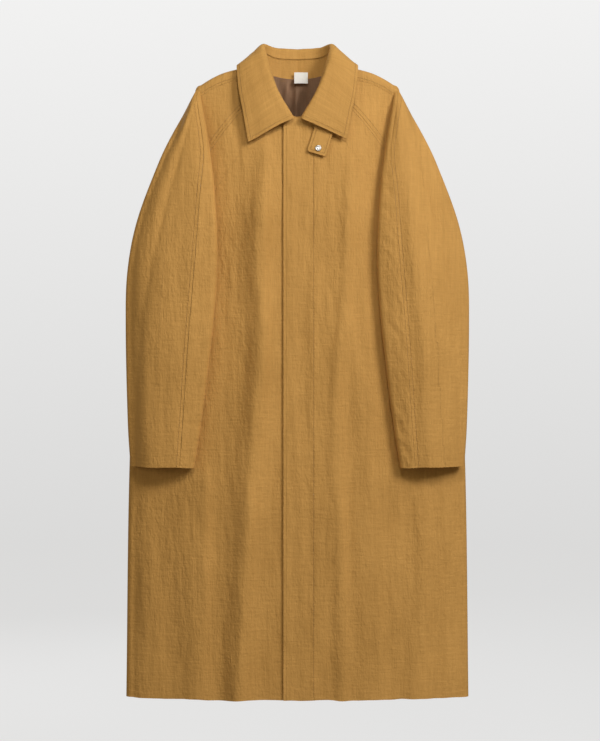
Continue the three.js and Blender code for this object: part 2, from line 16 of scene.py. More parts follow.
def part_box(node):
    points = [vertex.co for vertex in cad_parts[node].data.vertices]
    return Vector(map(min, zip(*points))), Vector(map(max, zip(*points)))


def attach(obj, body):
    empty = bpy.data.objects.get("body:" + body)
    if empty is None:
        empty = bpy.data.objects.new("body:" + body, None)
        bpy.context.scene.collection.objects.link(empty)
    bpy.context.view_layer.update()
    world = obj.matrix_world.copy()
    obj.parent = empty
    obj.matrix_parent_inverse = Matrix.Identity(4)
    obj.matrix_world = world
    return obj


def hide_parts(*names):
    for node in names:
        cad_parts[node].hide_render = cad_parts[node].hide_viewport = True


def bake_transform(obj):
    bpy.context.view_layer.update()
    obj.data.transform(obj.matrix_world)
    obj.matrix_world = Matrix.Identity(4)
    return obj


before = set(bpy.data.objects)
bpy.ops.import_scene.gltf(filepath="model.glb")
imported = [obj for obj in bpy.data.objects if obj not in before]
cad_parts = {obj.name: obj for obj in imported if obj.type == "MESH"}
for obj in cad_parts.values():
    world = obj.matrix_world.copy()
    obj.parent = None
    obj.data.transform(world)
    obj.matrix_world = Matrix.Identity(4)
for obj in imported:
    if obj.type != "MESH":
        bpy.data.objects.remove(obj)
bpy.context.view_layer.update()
scene = bpy.context.scene
MM = 0.001
SIDES = (("left", 1), ("right", -1))

# %% [markdown]
# ## Camera
# A garment is shown straight from the front with a long lens, so that the hem is not drawn larger than
# the collar. The camera stands about four metres away at the middle of the coat's height.

# %% Camera
camera = bpy.data.objects.new("camera", bpy.data.cameras.new("camera"))
scene.collection.objects.link(camera)
camera.data.lens = 100
camera.location = (0.005, -3.911, -0.532)
camera.rotation_euler = (math.radians(90), 0, 0)
scene.camera = camera
scene.view_settings.view_transform = "Standard"

# %% [markdown]
# ## Studio
# The floor and backdrop are one curved sweep of card, spun round so that it stands behind the coat
# from every side. Its paleness is painted light: the dark card glows, brighter the higher it stands. It
# casts no shadow, so the soft sky light reaches the coat through it. The main light is a large soft panel
# high on the right, which makes the soft folds readable. A small light high in front opens up the neck, a
# weak one low on the left lifts the shaded side, and a broad one lights the back.

# %% Studio
def profile_verts(bm, points):
    """Vertices along a line of points, joined by edges."""
    verts = [bm.verts.new(point) for point in points]
    for first, second in zip(verts, verts[1:]):
        bm.edges.new((first, second))
    return verts


def add_piece(name, bm, *materials, smooth=True):
    """Turns a bmesh into an object of the scene with its place in its mesh."""
    mesh = bpy.data.meshes.new(name)
    bm.to_mesh(mesh)
    bm.free()
    piece = bpy.data.objects.new(name, mesh)
    scene.collection.objects.link(piece)
    for material in materials:
        mesh.materials.append(material)
    mesh.polygons.foreach_set("use_smooth", [smooth] * len(mesh.polygons))
    return piece


def add_node(tree, kind, **settings):
    """Adds a node to a material and sets it up."""
    node = tree.nodes.new(kind)
    for key, value in settings.items():
        setattr(node, key, value)
    return node


def new_material(name, colour, roughness):
    """A node material with its principled shader."""
    material = bpy.data.materials.new(name)
    material.use_nodes = True
    shader = material.node_tree.nodes["Principled BSDF"]
    shader.inputs["Base Color"].default_value = (*colour, 1)
    shader.inputs["Roughness"].default_value = roughness
    return material, material.node_tree, shader


card, card_tree, card_shader = new_material("glowing_card", (0.12, 0.121, 0.122), 0.9)
card_shader.inputs["Emission Color"].default_value = (1, 1, 1, 1)
height = add_node(card_tree, "ShaderNodeSeparateXYZ")
card_tree.links.new(add_node(card_tree, "ShaderNodeTexCoord").outputs["Object"], height.inputs[0])
# Painted light: the card glows, from 0.66 low down to 0.86 high up, so it is brighter the higher it stands.
glow = add_node(card_tree, "ShaderNodeMapRange")
glow.inputs["From Min"].default_value = -1.45
glow.inputs["From Max"].default_value = 2.0
glow.inputs["To Min"].default_value = 0.66
glow.inputs["To Max"].default_value = 0.86
card_tree.links.new(height.outputs["Z"], glow.inputs["Value"])
card_tree.links.new(glow.outputs["Result"], card_shader.inputs["Emission Strength"])

sweep_bm = bmesh.new()
FLOOR = -1.45
corner = [
    (6.5 + 2 * math.sin(turn), 0, FLOOR + 2 - 2 * math.cos(turn))
    for turn in np.linspace(0, math.pi / 2, 10)
]
profile_verts(sweep_bm, [(0, 0, FLOOR), *corner, (8.5, 0, 7)])
bmesh.ops.spin(
    sweep_bm, geom=sweep_bm.verts[:] + sweep_bm.edges[:], cent=(0, 0, 0), axis=(0, 0, 1),
    angle=math.tau, steps=64, use_merge=True,
)
bmesh.ops.recalc_face_normals(sweep_bm, faces=sweep_bm.faces)
bmesh.ops.reverse_faces(sweep_bm, faces=sweep_bm.faces)
sweep = add_piece("sweep", sweep_bm, card)
sweep.visible_shadow = False
sweep.visible_diffuse = False
sweep.visible_glossy = False

world = bpy.data.worlds.new("studio")
scene.world = world
world.use_nodes = True
world.node_tree.nodes["Background"].inputs["Color"].default_value = (1, 0.9, 0.7, 1)
world.node_tree.nodes["Background"].inputs["Strength"].default_value = 0.22


def soft_light(name, place, target, size, energy):
    """A large soft panel that faces a point."""
    data = bpy.data.lights.new(name, "AREA")
    data.size = size
    data.energy = energy
    light = bpy.data.objects.new(name, data)
    light.location = place
    light.rotation_euler = (Vector(target) - Vector(place)).to_track_quat("-Z", "Y").to_euler()
    scene.collection.objects.link(light)
    return light


key = soft_light("key", (2.8, -2.9, 2.0), (0, 0, -0.1), 1.6, 156)
key.data.color = (0.95, 0.96, 1)
soft_light("front", (0.1, -1.9, 1.0), (0, 0, 0.1), 0.4, 13)
soft_light("left", (-2.4, -2.6, 0.2), (-0.25, 0, -0.45), 0.9, 9)
soft_light("back_fill", (-1.2, 2.8, 0.8), (0, 0, -0.4), 1.6, 36)

# %% [markdown]
# ## Cotton
# The shell is a crisp cotton with a fine dry crinkle: small creases run mostly up and down, the threads
# show as faint streaks both ways, and the cloth puckers where it is sewn. A real cloth gets this from
# yarns of uneven thickness and from washing. Here every cut piece carries its flat pattern in a UV map
# named cloth, in metres, so the threads follow the piece, and an attribute named stitch with the distance
# to the nearest sewn line, so the groove and the puckers sit exactly at the seams.

# %% Cloth nodes
def stretched_noise(tree, source, scale, detail=3.0, offset=0.0):
    """Noise on the flat pattern, stretched along the threads. Scale is grains a metre, across and up."""
    mapping = add_node(tree, "ShaderNodeMapping")
    mapping.inputs["Scale"].default_value = (scale[0], scale[1], 1)
    mapping.inputs["Location"].default_value = (offset, offset * 1.7, offset)
    tree.links.new(source, mapping.inputs["Vector"])
    grain = add_node(tree, "ShaderNodeTexNoise")
    grain.inputs["Scale"].default_value = 1
    grain.inputs["Detail"].default_value = detail
    tree.links.new(mapping.outputs["Vector"], grain.inputs["Vector"])
    return grain.outputs["Fac"]


def maths(tree, operation, first, second=0.0, clamp=False):
    """One sum on sockets or numbers."""
    node = add_node(tree, "ShaderNodeMath", operation=operation, use_clamp=clamp)
    for socket, value in zip(node.inputs, (first, second)):
        if isinstance(value, (int, float)):
            socket.default_value = value
        else:
            tree.links.new(value, socket)
    return node.outputs[0]


def weighted_sum(tree, parts):
    """Adds up height or shade parts, each a socket and its share."""
    total = 0.0
    for socket, share in parts:
        total = maths(tree, "ADD", maths(tree, "MULTIPLY", socket, share), total)
    return total


def set_bump(tree, shader, height, distance=1, strength=1):
    """Turns a height socket into relief on the surface."""
    bump = add_node(tree, "ShaderNodeBump")
    bump.inputs["Strength"].default_value = strength
    bump.inputs["Distance"].default_value = distance
    tree.links.new(height, bump.inputs["Height"])
    tree.links.new(bump.outputs["Normal"], shader.inputs["Normal"])


def mixed_colour(tree, factor, dark, light):
    """A colour between two, by a factor from 0 to 1."""
    mix = add_node(tree, "ShaderNodeMix", data_type="RGBA")
    tree.links.new(factor, mix.inputs["Factor"])
    mix.inputs["A"].default_value = (*dark, 1)
    mix.inputs["B"].default_value = (*light, 1)
    return mix.outputs["Result"]


def cotton(name, dark, light, crinkle=1.0, across=1.0):
    """Dry crinkled cotton. Crinkle scales the creases and across how strongly they run sideways too."""
    material, tree, shader = new_material(name, light, 0.82)
    flat = add_node(tree, "ShaderNodeUVMap", uv_map="cloth").outputs["UV"]
    sewn = add_node(tree, "ShaderNodeAttribute", attribute_name="stitch").outputs["Fac"]
    distance = maths(tree, "ABSOLUTE", sewn)

    mottle = stretched_noise(tree, flat, (11, 6), 5)
    up_threads = stretched_noise(tree, flat, (950, 34), 2, 3)
    cross_threads = stretched_noise(tree, flat, (40, 1000), 2, 7)
    streaks = stretched_noise(tree, flat, (210, 9), 3, 11)
    shade = weighted_sum(tree, [(mottle, 0.7), (up_threads, 0.55), (cross_threads, 0.5), (streaks, 0.45)])
    factor = maths(tree, "SUBTRACT", shade, 0.6, clamp=True)
    groove = maths(tree, "SUBTRACT", 1, maths(tree, "DIVIDE", distance, 0.0011), clamp=True)
    # Painted shade: the colour is darkened in the seam groove, where the groove's shadow falls.
    groove_shaded = maths(tree, "SUBTRACT", factor, maths(tree, "MULTIPLY", groove, 0.4), clamp=True)
    tree.links.new(mixed_colour(tree, groove_shaded, dark, light), shader.inputs["Base Color"])

    patches = maths(tree, "MULTIPLY", stretched_noise(tree, flat, (7, 4), 2, 21), 1.7)
    creases = maths(tree, "MULTIPLY", stretched_noise(tree, flat, (95, 13), 4, 31), patches)
    middle_creases = maths(tree, "MULTIPLY", stretched_noise(tree, flat, (150, 42), 4, 36), patches)
    small_creases = maths(tree, "MULTIPLY", stretched_noise(tree, flat, (320, 130), 3, 41), patches)
    side_creases = stretched_noise(tree, flat, (34, 170), 3, 51)
    near = maths(tree, "SUBTRACT", 1, maths(tree, "DIVIDE", distance, 0.011), clamp=True)
    pucker = maths(tree, "MULTIPLY", stretched_noise(tree, flat, (190, 190), 1, 61), near)
    height = weighted_sum(tree, [
        (creases, 0.0016 * crinkle), (middle_creases, 0.0020 * crinkle),
        (small_creases, 0.0013 * crinkle), (side_creases, 0.0010 * across),
        (pucker, 0.0011), (up_threads, 0.00005), (cross_threads, 0.00005), (groove, -0.0006),
    ])
    set_bump(tree, shader, height, strength=0.9)
    rough = maths(tree, "ADD", maths(tree, "MULTIPLY", up_threads, 0.12), 0.74)
    tree.links.new(rough, shader.inputs["Roughness"])
    shader.inputs["Sheen Weight"].default_value = 0.06
    shader.inputs["Sheen Roughness"].default_value = 0.45
    shader.inputs["Sheen Tint"].default_value = (1.0, 0.86, 0.62, 1)
    shader.inputs["Specular IOR Level"].default_value = 0.28
    return material


shell_cloth = cotton("shell_cotton", (0.40, 0.201, 0.042), (0.66, 0.352, 0.093))
collar_cloth = cotton("collar_cotton", (0.40, 0.2, 0.042), (0.63, 0.338, 0.088), crinkle=0.5, across=0.8)
print("cottons", shell_cloth.name, collar_cloth.name)

# %% [markdown]
# ## Satin, pocketing, tape and thread
# The lining is a brown satin: smooth, a little glossy, with a fine twill line. The pocket bags are plain
# pocketing. The label is a woven cream tape, and the topstitching is a matching sewing thread, which is
# twisted, so it has slanting ridges.

# %% Other cloths
def woven(name, dark, light, roughness, threads, relief, sheen, gloss):
    """A smooth woven cloth: satin, pocketing or tape. Threads is how many a metre."""
    material, tree, shader = new_material(name, light, roughness)
    flat = add_node(tree, "ShaderNodeUVMap", uv_map="cloth").outputs["UV"]
    mottle = stretched_noise(tree, flat, (14, 9), 3, 5)
    warp = stretched_noise(tree, flat, (threads, threads * 0.06), 2, 9)
    weft = stretched_noise(tree, flat, (threads * 0.06, threads), 2, 13)
    creases = stretched_noise(tree, flat, (60, 22), 3, 17)
    shade = weighted_sum(tree, [(mottle, 0.8), (warp, 0.6), (weft, 0.4)])
    factor = maths(tree, "SUBTRACT", shade, 0.4, clamp=True)
    tree.links.new(mixed_colour(tree, factor, dark, light), shader.inputs["Base Color"])
    height = weighted_sum(tree, [(creases, relief), (warp, 0.00004), (weft, 0.00004)])
    set_bump(tree, shader, height)
    rough = maths(tree, "ADD", maths(tree, "MULTIPLY", mottle, 0.14), roughness - 0.07)
    tree.links.new(rough, shader.inputs["Roughness"])
    shader.inputs["Sheen Weight"].default_value = sheen
    shader.inputs["Specular IOR Level"].default_value = gloss
    return material


# Partly painted light: the satin is brown, but its colours are set lighter than the real satin's to make up
# for the light that does not reach the lining inside the neck.
satin = woven("lining_satin", (0.25, 0.135, 0.07), (0.47, 0.28, 0.165), 0.38, 900, 0.0016, 0.08, 0.5)
pocketing = woven("pocketing", (0.2, 0.16, 0.115), (0.33, 0.27, 0.2), 0.85, 700, 0.001, 0.1, 0.2)
tape = woven("label_tape", (0.86, 0.83, 0.74), (0.98, 0.96, 0.89), 0.78, 1600, 0.0002, 0.1, 0.3)


def twisted_thread(name, dark, light):
    """Sewing thread: slanting ridges of its plies, on object coordinates."""
    material, tree, shader = new_material(name, light, 0.7)
    place = add_node(tree, "ShaderNodeTexCoord").outputs["Object"]
    mapping = add_node(tree, "ShaderNodeMapping")
    mapping.inputs["Scale"].default_value = (2600, 2600, 2600)
    mapping.inputs["Rotation"].default_value = (0.5, 0.6, 0.7)
    tree.links.new(place, mapping.inputs["Vector"])
    plies = add_node(tree, "ShaderNodeTexNoise")
    plies.inputs["Scale"].default_value = 1
    tree.links.new(mapping.outputs["Vector"], plies.inputs["Vector"])
    tree.links.new(mixed_colour(tree, plies.outputs["Fac"], dark, light), shader.inputs["Base Color"])
    set_bump(tree, shader, plies.outputs["Fac"], 0.0001)
    shader.inputs["Sheen Weight"].default_value = 0.2
    return material


thread = twisted_thread("topstitch_thread", (0.3, 0.15, 0.04), (0.6, 0.34, 0.11))
cream_thread = twisted_thread("label_thread", (0.6, 0.56, 0.45), (0.85, 0.82, 0.72))
print("cloths", satin.name, pocketing.name, tape.name, thread.name)

# %% [markdown]
# ## Metal and horn
# The snap is bright nickel-plated brass with fine turning marks and small rubs. The hidden buttons are
# horn-like: brown with soft lighter streaks and a low polish.

# %% Metal and horn
def hard_finish(name, dark, light, roughness, scale, metallic, relief):
    """A hard finish with streaks and small rubs on object coordinates."""
    material, tree, shader = new_material(name, light, roughness)
    place = add_node(tree, "ShaderNodeTexCoord").outputs["Object"]
    mapping = add_node(tree, "ShaderNodeMapping")
    mapping.inputs["Scale"].default_value = scale
    tree.links.new(place, mapping.inputs["Vector"])
    streaks = add_node(tree, "ShaderNodeTexNoise")
    streaks.inputs["Scale"].default_value = 1
    streaks.inputs["Detail"].default_value = 5
    tree.links.new(mapping.outputs["Vector"], streaks.inputs["Vector"])
    tree.links.new(mixed_colour(tree, streaks.outputs["Fac"], dark, light), shader.inputs["Base Color"])
    rough = maths(tree, "ADD", maths(tree, "MULTIPLY", streaks.outputs["Fac"], 0.2), roughness - 0.1)
    tree.links.new(rough, shader.inputs["Roughness"])
    set_bump(tree, shader, streaks.outputs["Fac"], relief)
    shader.inputs["Metallic"].default_value = metallic
    return material


nickel = hard_finish(
    "snap_nickel", (0.4, 0.38, 0.35), (0.62, 0.6, 0.56), 0.36, (300, 1500, 300), 1, 0.00004,
)
horn = hard_finish(
    "button_horn", (0.035, 0.018, 0.008), (0.2, 0.11, 0.05), 0.34, (90, 400, 700), 0, 0.00008,
)
print("hard finishes", nickel.name, horn.name)

# %% [markdown]
# ## The shape that the cloth follows
# All the pieces of the body lie on one skin: a front and a back face that stand off the middle plane and
# round over into the side folds and the shoulders. The tables are the outline of the coat, bottom to top.
# A smooth curve through each table gives the measure at any height.

# %% Outline of the body
HEM = -1150.0
FOLD = 14.0
ARMPIT = (256.0, -265.0)
HALF_WIDTHS = [(HEM, 311), (-715, 305), (-450, 292), (-265, 256), (3, 183), (110, 154)]
FRONT_DEPTHS = [(HEM, 44), (-715, 50), (-265, 50), (-150, 42), (-40, 30), (110, 30)]
BACK_DEPTHS = [(HEM, 44), (-715, 46), (-265, 52), (-150, 50), (-40, 44), (110, 40)]
FRONT_RAGLAN = [(57, 0), (109, -40), (159, -102), (210, -180), ARMPIT]
BACK_RAGLAN = [(45, 31), (100, -30), (159, -110), (210, -188), ARMPIT]


def smooth_step(low, high, value):
    share = min(max((value - low) / (high - low), 0.0), 1.0)
    return share * share * (3 - 2 * share)


def lerp(low, high, share):
    return low + (high - low) * share


def along(stations, key):
    """A smooth curve through (key, value) pairs, read at any key."""
    last = len(stations) - 1
    span = 0
    while span < last - 1 and stations[span + 1][0] <= key:
        span += 1
    (k0, v0), (k1, v1) = stations[span], stations[span + 1]
    before, after = stations[max(span - 1, 0)], stations[min(span + 2, last)]
    reach = k1 - k0
    slope0 = (v1 - before[1]) / (k1 - before[0]) * reach
    slope1 = (after[1] - v0) / (after[0] - k0) * reach
    t = min(max((key - k0) / reach, 0.0), 1.0)
    t2 = t * t
    t3 = t2 * t
    from_start = (2 * t3 - 3 * t2 + 1) * v0 + (t3 - 2 * t2 + t) * slope0
    return from_start + (3 * t2 - 2 * t3) * v1 + (t3 - t2) * slope1


def half_width(z):
    return along(HALF_WIDTHS, z)


def shoulder_line(x):
    inward = 183 - abs(x)
    bulge = 5 * math.sin(math.pi * min(max(inward, 0), 110) / 110)
    droop = 7 * (1 - min(max(inward, 0), 50) / 50) ** 2
    return 3 + inward * 0.27 + bulge - droop


def front_neckline(x):
    x = abs(x)
    if x < 57:
        return lerp(-54, 0, (x / 57) ** 1.6)
    return along(FRONT_RAGLAN, x)


def back_neckline(x):
    x = abs(x)
    if x < 45:
        return lerp(26, 31, (x / 45) ** 2)
    return along(BACK_RAGLAN, x)


def body_depth(face, x, z):
    depth = along(FRONT_DEPTHS if face < 0 else BACK_DEPTHS, z)
    across = min(max(1 - (x / half_width(z)) ** 2, 0), 1) ** 0.8
    rise = min(max((shoulder_line(x) - z) / 120, 0), 1)
    return depth * across * math.sin(math.pi / 2 * rise)


print("front depth at the chest, mm", round(body_depth(-1, 0, -265) + FOLD, 1))

# %% [markdown]
# ## Soft folds
# A coat that hangs has a few long soft folds that start at the chest and the shoulders and run to the
# hem, and many small creases between them. Each long fold is a ridge that wanders a little on its way
# down. Every layer of the front uses the same folds, so the layers stay side by side and never cut
# through each other. Under the sleeves the folds die out, because the sleeves lie there.

# %% Folds of the body
# Each ridge: where it runs (height, x), how wide it is, how far it lifts, and the heights where
# it fades.
FRONT_RIDGES = [
    (
        [(HEM, -112), (-900, -99), (-760, -92), (-620, -79), (-470, -66), (-300, -74), (-150, -56)],
        25, 17, (-40, -260),
    ),
    ([(HEM, -196), (-900, -188), (-700, -176)], 30, 6, (-560, -900)),
    (
        [(HEM, 88), (-900, 80), (-738, 75), (-586, 71), (-450, 84), (-300, 94), (-150, 97)],
        14, 6, (-60, -250),
    ),
    ([(HEM, 150), (-800, 142), (-500, 128)], 30, 3, (-350, -700)),
    ([(HEM, 222), (-1000, 232), (-850, 238), (-700, 232)], 17, 7, (-700, -860)),
    ([(HEM, 292), (-950, 284), (-800, 280), (-700, 276)], 16, 4, (-720, -860)),
    ([(HEM, -286), (-900, -276), (-720, -270)], 22, 3, (-700, -900)),
]
BACK_RIDGES = [
    ([(HEM, -150), (-700, -128), (-300, -112), (-100, -100)], 28, 13, (-60, -330)),
    ([(HEM, 138), (-700, 120), (-300, 104), (-100, 96)], 24, 12, (-60, -330)),
    ([(HEM, -245), (-700, -228), (-350, -206)], 20, 9, (-250, -600)),
    ([(HEM, 250), (-700, 236), (-350, 212)], 22, 9, (-250, -600)),
    ([(HEM, 58), (-800, 64), (-500, 56)], 18, 6, (-350, -700)),
    ([(HEM, -70), (-800, -66), (-500, -58)], 18, 5, (-350, -700)),
]


def folds(face, x, z):
    """How far the cloth stands off its plain shape at a place, in millimetres."""
    total = 0.0
    for line, width, lift, (fade_from, fade_to) in FRONT_RIDGES if face < 0 else BACK_RIDGES:
        centre = along(line, z) + 3 * noise.noise((lift * 7.1, z / 90, width))
        strength = smooth_step(fade_from, fade_to, z)
        strength *= 1 + 0.35 * noise.noise((z / 130, width * 1.3, lift))
        total += lift * strength * math.exp(-(((x - centre) / width) ** 2))
    total += 2.4 * noise.noise((x / 40, z / 380, 5.0 * face))
    turned_hem = 0.35 + 0.65 * smooth_step(HEM, HEM + 120, z)
    total += 1.7 * turned_hem * noise.noise((x / 18, z / 150, 9.0 + face))
    total += 1.1 * turned_hem * noise.noise((x / 11, z / 42, 13.0 + face))
    under_sleeve = smooth_step(128, 158, abs(x)) * smooth_step(-745, -700, z) if face < 0 else 0.0
    at_edge = 1 - smooth_step(-90, -30, z)
    return total * (1 - 0.85 * under_sleeve) * (0.25 + 0.75 * at_edge)


def hem_wave(x, z):
    """The hem isn't a ruled line: it rises and drops by a couple of millimetres."""
    near = 1 - smooth_step(0, 70, z - HEM)
    return near * (1.8 * noise.noise((x / 60, 3.3, 0)) + 1.0 * noise.noise((x / 23, 8.3, 0)))


def body_skin(face, side, inset=0.0):
    """The skin of the body as a function of the flat pattern: a across from the centre, b up, in mm."""

    def skin(a, b):
        hw = half_width(min(b, shoulder_line(a)))
        x = min(a, hw)
        side_turn = max(a - hw, 0) / FOLD
        crown = shoulder_line(x)
        z = min(b, crown)
        top_turn = max(b - crown, 0) / FOLD
        signed = side * x
        laid = inset(signed) if callable(inset) else inset
        radius = FOLD - laid
        # The side fold narrows towards the shoulder, where the cloth lies flatter.
        reach = side * radius * (1 - 0.45 * smooth_step(-100, -10, z))
        if top_turn > math.pi:
            z = crown - (top_turn - math.pi) * FOLD
            depth = body_depth(-face, signed, z)
            lifted = folds(-face, signed, z)
            swell = (radius + lifted) * math.cos(side_turn)
            return Vector((signed + reach * math.sin(side_turn), -face * (depth + swell), z)) * MM
        steady = math.cos(side_turn) * math.cos(top_turn)
        lifted = folds(face, signed, z) * max(steady, 0)
        y = face * (body_depth(face, signed, z) + radius * steady + lifted)
        z += radius * math.cos(side_turn) * math.sin(top_turn) + hem_wave(signed, z)
        return Vector((signed + reach * math.sin(side_turn), y, z)) * MM

    return skin


print("fold at the left of the front, mm", round(folds(-1, -92, -760), 2))

# %% [markdown]
# ## Cutting a piece of cloth
# A cut piece starts as a flat grid. A spread function says where each grid point lies on the flat pattern,
# a skin function bends the pattern into place, and a solidify gives the cloth its thickness. The flat
# pattern is kept in the UV map, and the distance to the nearest sewn line in the stitch attribute.

# %% Cloth pieces
def seam_distance(points, lines):
    """Signed distance, in metres, from each pattern point to the nearest sewn line."""
    nearest = np.full(len(points), 50.0)
    for line in lines:
        path = np.array(line, float)
        for start, end in zip(path[:-1], path[1:]):
            run = end - start
            share = np.clip((points - start) @ run / (run @ run), 0, 1)
            offset = points - (start + share[:, None] * run)
            signed = np.hypot(offset[:, 0], offset[:, 1])
            signed *= np.where(run[0] * offset[:, 1] - run[1] * offset[:, 0] < 0, -1, 1)
            closer = np.abs(signed) < np.abs(nearest)
            nearest[closer] = signed[closer]
    return nearest * MM


def cut_out(bm, box):
    """Cuts a rectangle out of the flat pattern: low and high across, low and high up, in mm."""
    for axis, value in ((0, box[0]), (0, box[1]), (1, box[2]), (1, box[3])):
        point, normal = Vector((0, 0, 0)), Vector((0, 0, 0))
        point[axis], normal[axis] = value * MM, 1
        everything = bm.verts[:] + bm.edges[:] + bm.faces[:]
        bmesh.ops.bisect_plane(bm, geom=everything, plane_co=point, plane_no=normal, dist=1e-6)
    gone = []
    for face in bm.faces:
        a, b, _ = face.calc_center_median() / MM
        if box[0] < a < box[1] and box[2] < b < box[3]:
            gone.append(face)
    bmesh.ops.delete(bm, geom=gone, context="FACES")


def cut_cloth(name, skin, spread, columns, rows, thickness, flip, materials, lines=(), holes=()):
    """Makes one piece of cloth and returns it with the size and area of its flat pattern, in metres."""
    bm = bmesh.new()
    bmesh.ops.create_grid(bm, x_segments=columns, y_segments=rows, size=0.5)
    pattern = bm.loops.layers.uv.new("cloth")
    stitch = bm.verts.layers.float.new("stitch")
    for vert in bm.verts:
        a, b = spread(vert.co.x + 0.5, vert.co.y + 0.5)
        vert.co = (a * MM, b * MM, 0)
    for box in holes:
        cut_out(bm, box)
    area = sum(face.calc_area() for face in bm.faces)
    places = [(vert.co.x / MM, vert.co.y / MM) for vert in bm.verts]
    for face in bm.faces:
        for loop in face.loops:
            loop[pattern].uv = loop.vert.co.xy
    gaps = seam_distance(np.array(places, float), lines)
    for vert, place, gap in zip(bm.verts, places, gaps):
        vert[stitch] = gap
        vert.co = skin(*place)
    if flip:
        bmesh.ops.reverse_faces(bm, faces=bm.faces)
    piece = add_piece(name, bm, *materials)
    layer = piece.modifiers.new("thickness", "SOLIDIFY")
    layer.thickness = thickness * MM
    layer.offset = -1
    layer.use_even_offset = False
    settled = bpy.data.meshes.new_from_object(piece.evaluated_get(bpy.context.evaluated_depsgraph_get()))
    piece.modifiers.clear()
    piece.data = settled
    settled.set_sharp_from_angle(angle=math.radians(70))
    size = np.ptp(np.array(places, float), axis=0) * MM
    return piece, (float(size[0]), float(size[1])), area


def meet(seam, column):
    """The height where a column of the cloth meets a seam: solves z = seam(x(z))."""
    low, high = HEM - 1, 110.0
    for _ in range(34):
        middle = (low + high) / 2
        if middle < seam(abs(column(middle))):
            low = middle
        else:
            high = middle
    return (low + high) / 2


SIDE_TURN = math.radians(88.8)


def panel_spread(inner, outer, bottom, top, columns, side_columns=0, rows=1, top_rows=0, top_arc=0.0):
    """Spreads a grid between four seams, with extra columns round the side fold and rows over the crown."""
    ends = {}

    def spread(u, v):
        column = round(u * (columns + side_columns))
        share = min(column / columns, 1.0)
        if share not in ends:
            column_x = lambda z: lerp(inner(z), outer(z), share)
            ends[share] = (meet(bottom, column_x), meet(top, column_x))
        row = round(v * (rows + top_rows))
        b = lerp(*ends[share], min(row / rows, 1.0))
        a = lerp(inner(b), outer(b), share)
        if column > columns:
            a += (column - columns) / side_columns * FOLD * SIDE_TURN
        if row > rows:
            b += (row - rows) / top_rows * top_arc
        return a, b

    return spread


def sew(name, skin, lines, flip, material, pitch=3.3, length=2.5, lift=0.12):
    """Rows of topstitching: each stitch is a short rounded piece of thread lying on the cloth."""
    bm = bmesh.new()
    count = 0
    for line in lines:
        path = [Vector(point) for point in line]
        reach = 1.0
        for start, end in zip(path, path[1:]):
            run = end - start
            while reach + length / 2 < run.length:
                step = run.normalized()
                first, second = start + step * (reach - length / 2), start + step * (reach + length / 2)
                foot, head = skin(*first), skin(*second)
                middle = start + step * reach
                side_ways = skin(middle.x - step.y, middle.y + step.x) - skin(*middle)
                ahead = (head - foot).normalized()
                out = ahead.cross(side_ways).normalized() * (-1 if flip else 1)
                across = out.cross(ahead)
                place = Matrix((ahead, across, out)).transposed().to_4x4()
                place.translation = (foot + head) / 2 + out * lift * MM
                size = Matrix.Diagonal(((head - foot).length / 2, 0.00033, 0.00026, 1))
                bmesh.ops.create_icosphere(bm, subdivisions=1, radius=1, matrix=place @ size)
                count += 1
                reach += pitch
            reach -= run.length
    piece = add_piece(name, bm, material)
    print(name, count, "stitches")
    return piece


def finish_piece(piece, body, nodes, slot, flat, area, sewing=()):
    for part in (piece, *sewing):
        if isinstance(body, str):
            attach(part, body)
        else:
            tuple(body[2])
            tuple(body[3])
            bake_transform(part)
    if nodes:
        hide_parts(*nodes)


print("cloth helpers ready")

# %% [markdown]
# ## Fronts
# The wearer's left front laps over the right. Its outer layer is one cloth with the fly flap, which is
# sewn down along the stitch line and free at its edge. The right front sinks 8 mm behind the flap near
# the centre, to leave room for the buttonhole strip and the buttons.

# %% Fronts
FLAP_EDGE = -26
FLAP_STITCH = 30
FLAP_FREE_TOP = -130
FLY_TOP = -57
CLOTH = 1.4
THIN_CLOTH = 0.8
FACING_INSET = 2.4


def right_inset(x):
    """How deep the right front lies: a little lower beside the flap, then well down under it."""
    return 2.6 * smooth_step(-90, -36, x) + 5.4 * smooth_step(-28, -12, x)


def raglan_line(stations, offset):
    """The raglan seam moved by an offset across itself, as points of the flat pattern."""
    keys = np.linspace(stations[0][0] + 2, stations[-1][0] - 1, 40)
    points = []
    for x in keys:
        slope = (along(stations, x + 1) - along(stations, x - 1)) / 2
        out = Vector((slope, -1)).normalized() * offset
        points.append((x + out.x, along(stations, x) + out.y))
    return points


def straight(first, second, steps=60):
    return [tuple(np.array(first) * (1 - t) + np.array(second) * t) for t in np.linspace(0, 1, steps)]


def below(seam, gap):
    return lambda x: seam(x) - gap


def level(value):
    return lambda _: value


for word, side in SIDES:
    inner = FLAP_STITCH if side > 0 else -24
    inset = 0 if side > 0 else right_inset
    columns = 70 if side > 0 else 84
    skin = body_skin(-1, side, inset)
    fly_line = straight((FLAP_STITCH + 0.6, -52), (FLAP_STITCH + 0.6, HEM + 4), 90)
    raglan = raglan_line(FRONT_RAGLAN, 5)
    lines = [fly_line, raglan] if side > 0 else [raglan]
    front, flat, area = cut_cloth(
        f"{word}_front", skin,
        panel_spread(level(inner), half_width, level(HEM), below(front_neckline, 0.4), columns, 6, 170),
        columns + 6, 170, CLOTH, side < 0, (shell_cloth,), lines,
    )
    sewing = sew(f"{word}_front_stitching", skin, lines, side < 0, thread)
    finish_piece(front, "coat_body", [f"front_panel_{word}"], "shell_cloth", flat, area, sewing=[sewing])

# %% [markdown]
# ## Fly
# The flap is the loose outer layer of the concealed front. Only its free edge lifts: along the stitch line
# it stays with the left front. Above the first button it is sewn down, and that part is its own piece.
# Behind the flap lies a strip with upright buttonholes.

# %% Fly
def flap_lift(x):
    """The free edge of the flap stands a little proud, as a pressed edge of three layers does."""
    return -1.8 * (1 - smooth_step(FLAP_EDGE, FLAP_EDGE + 20, x))


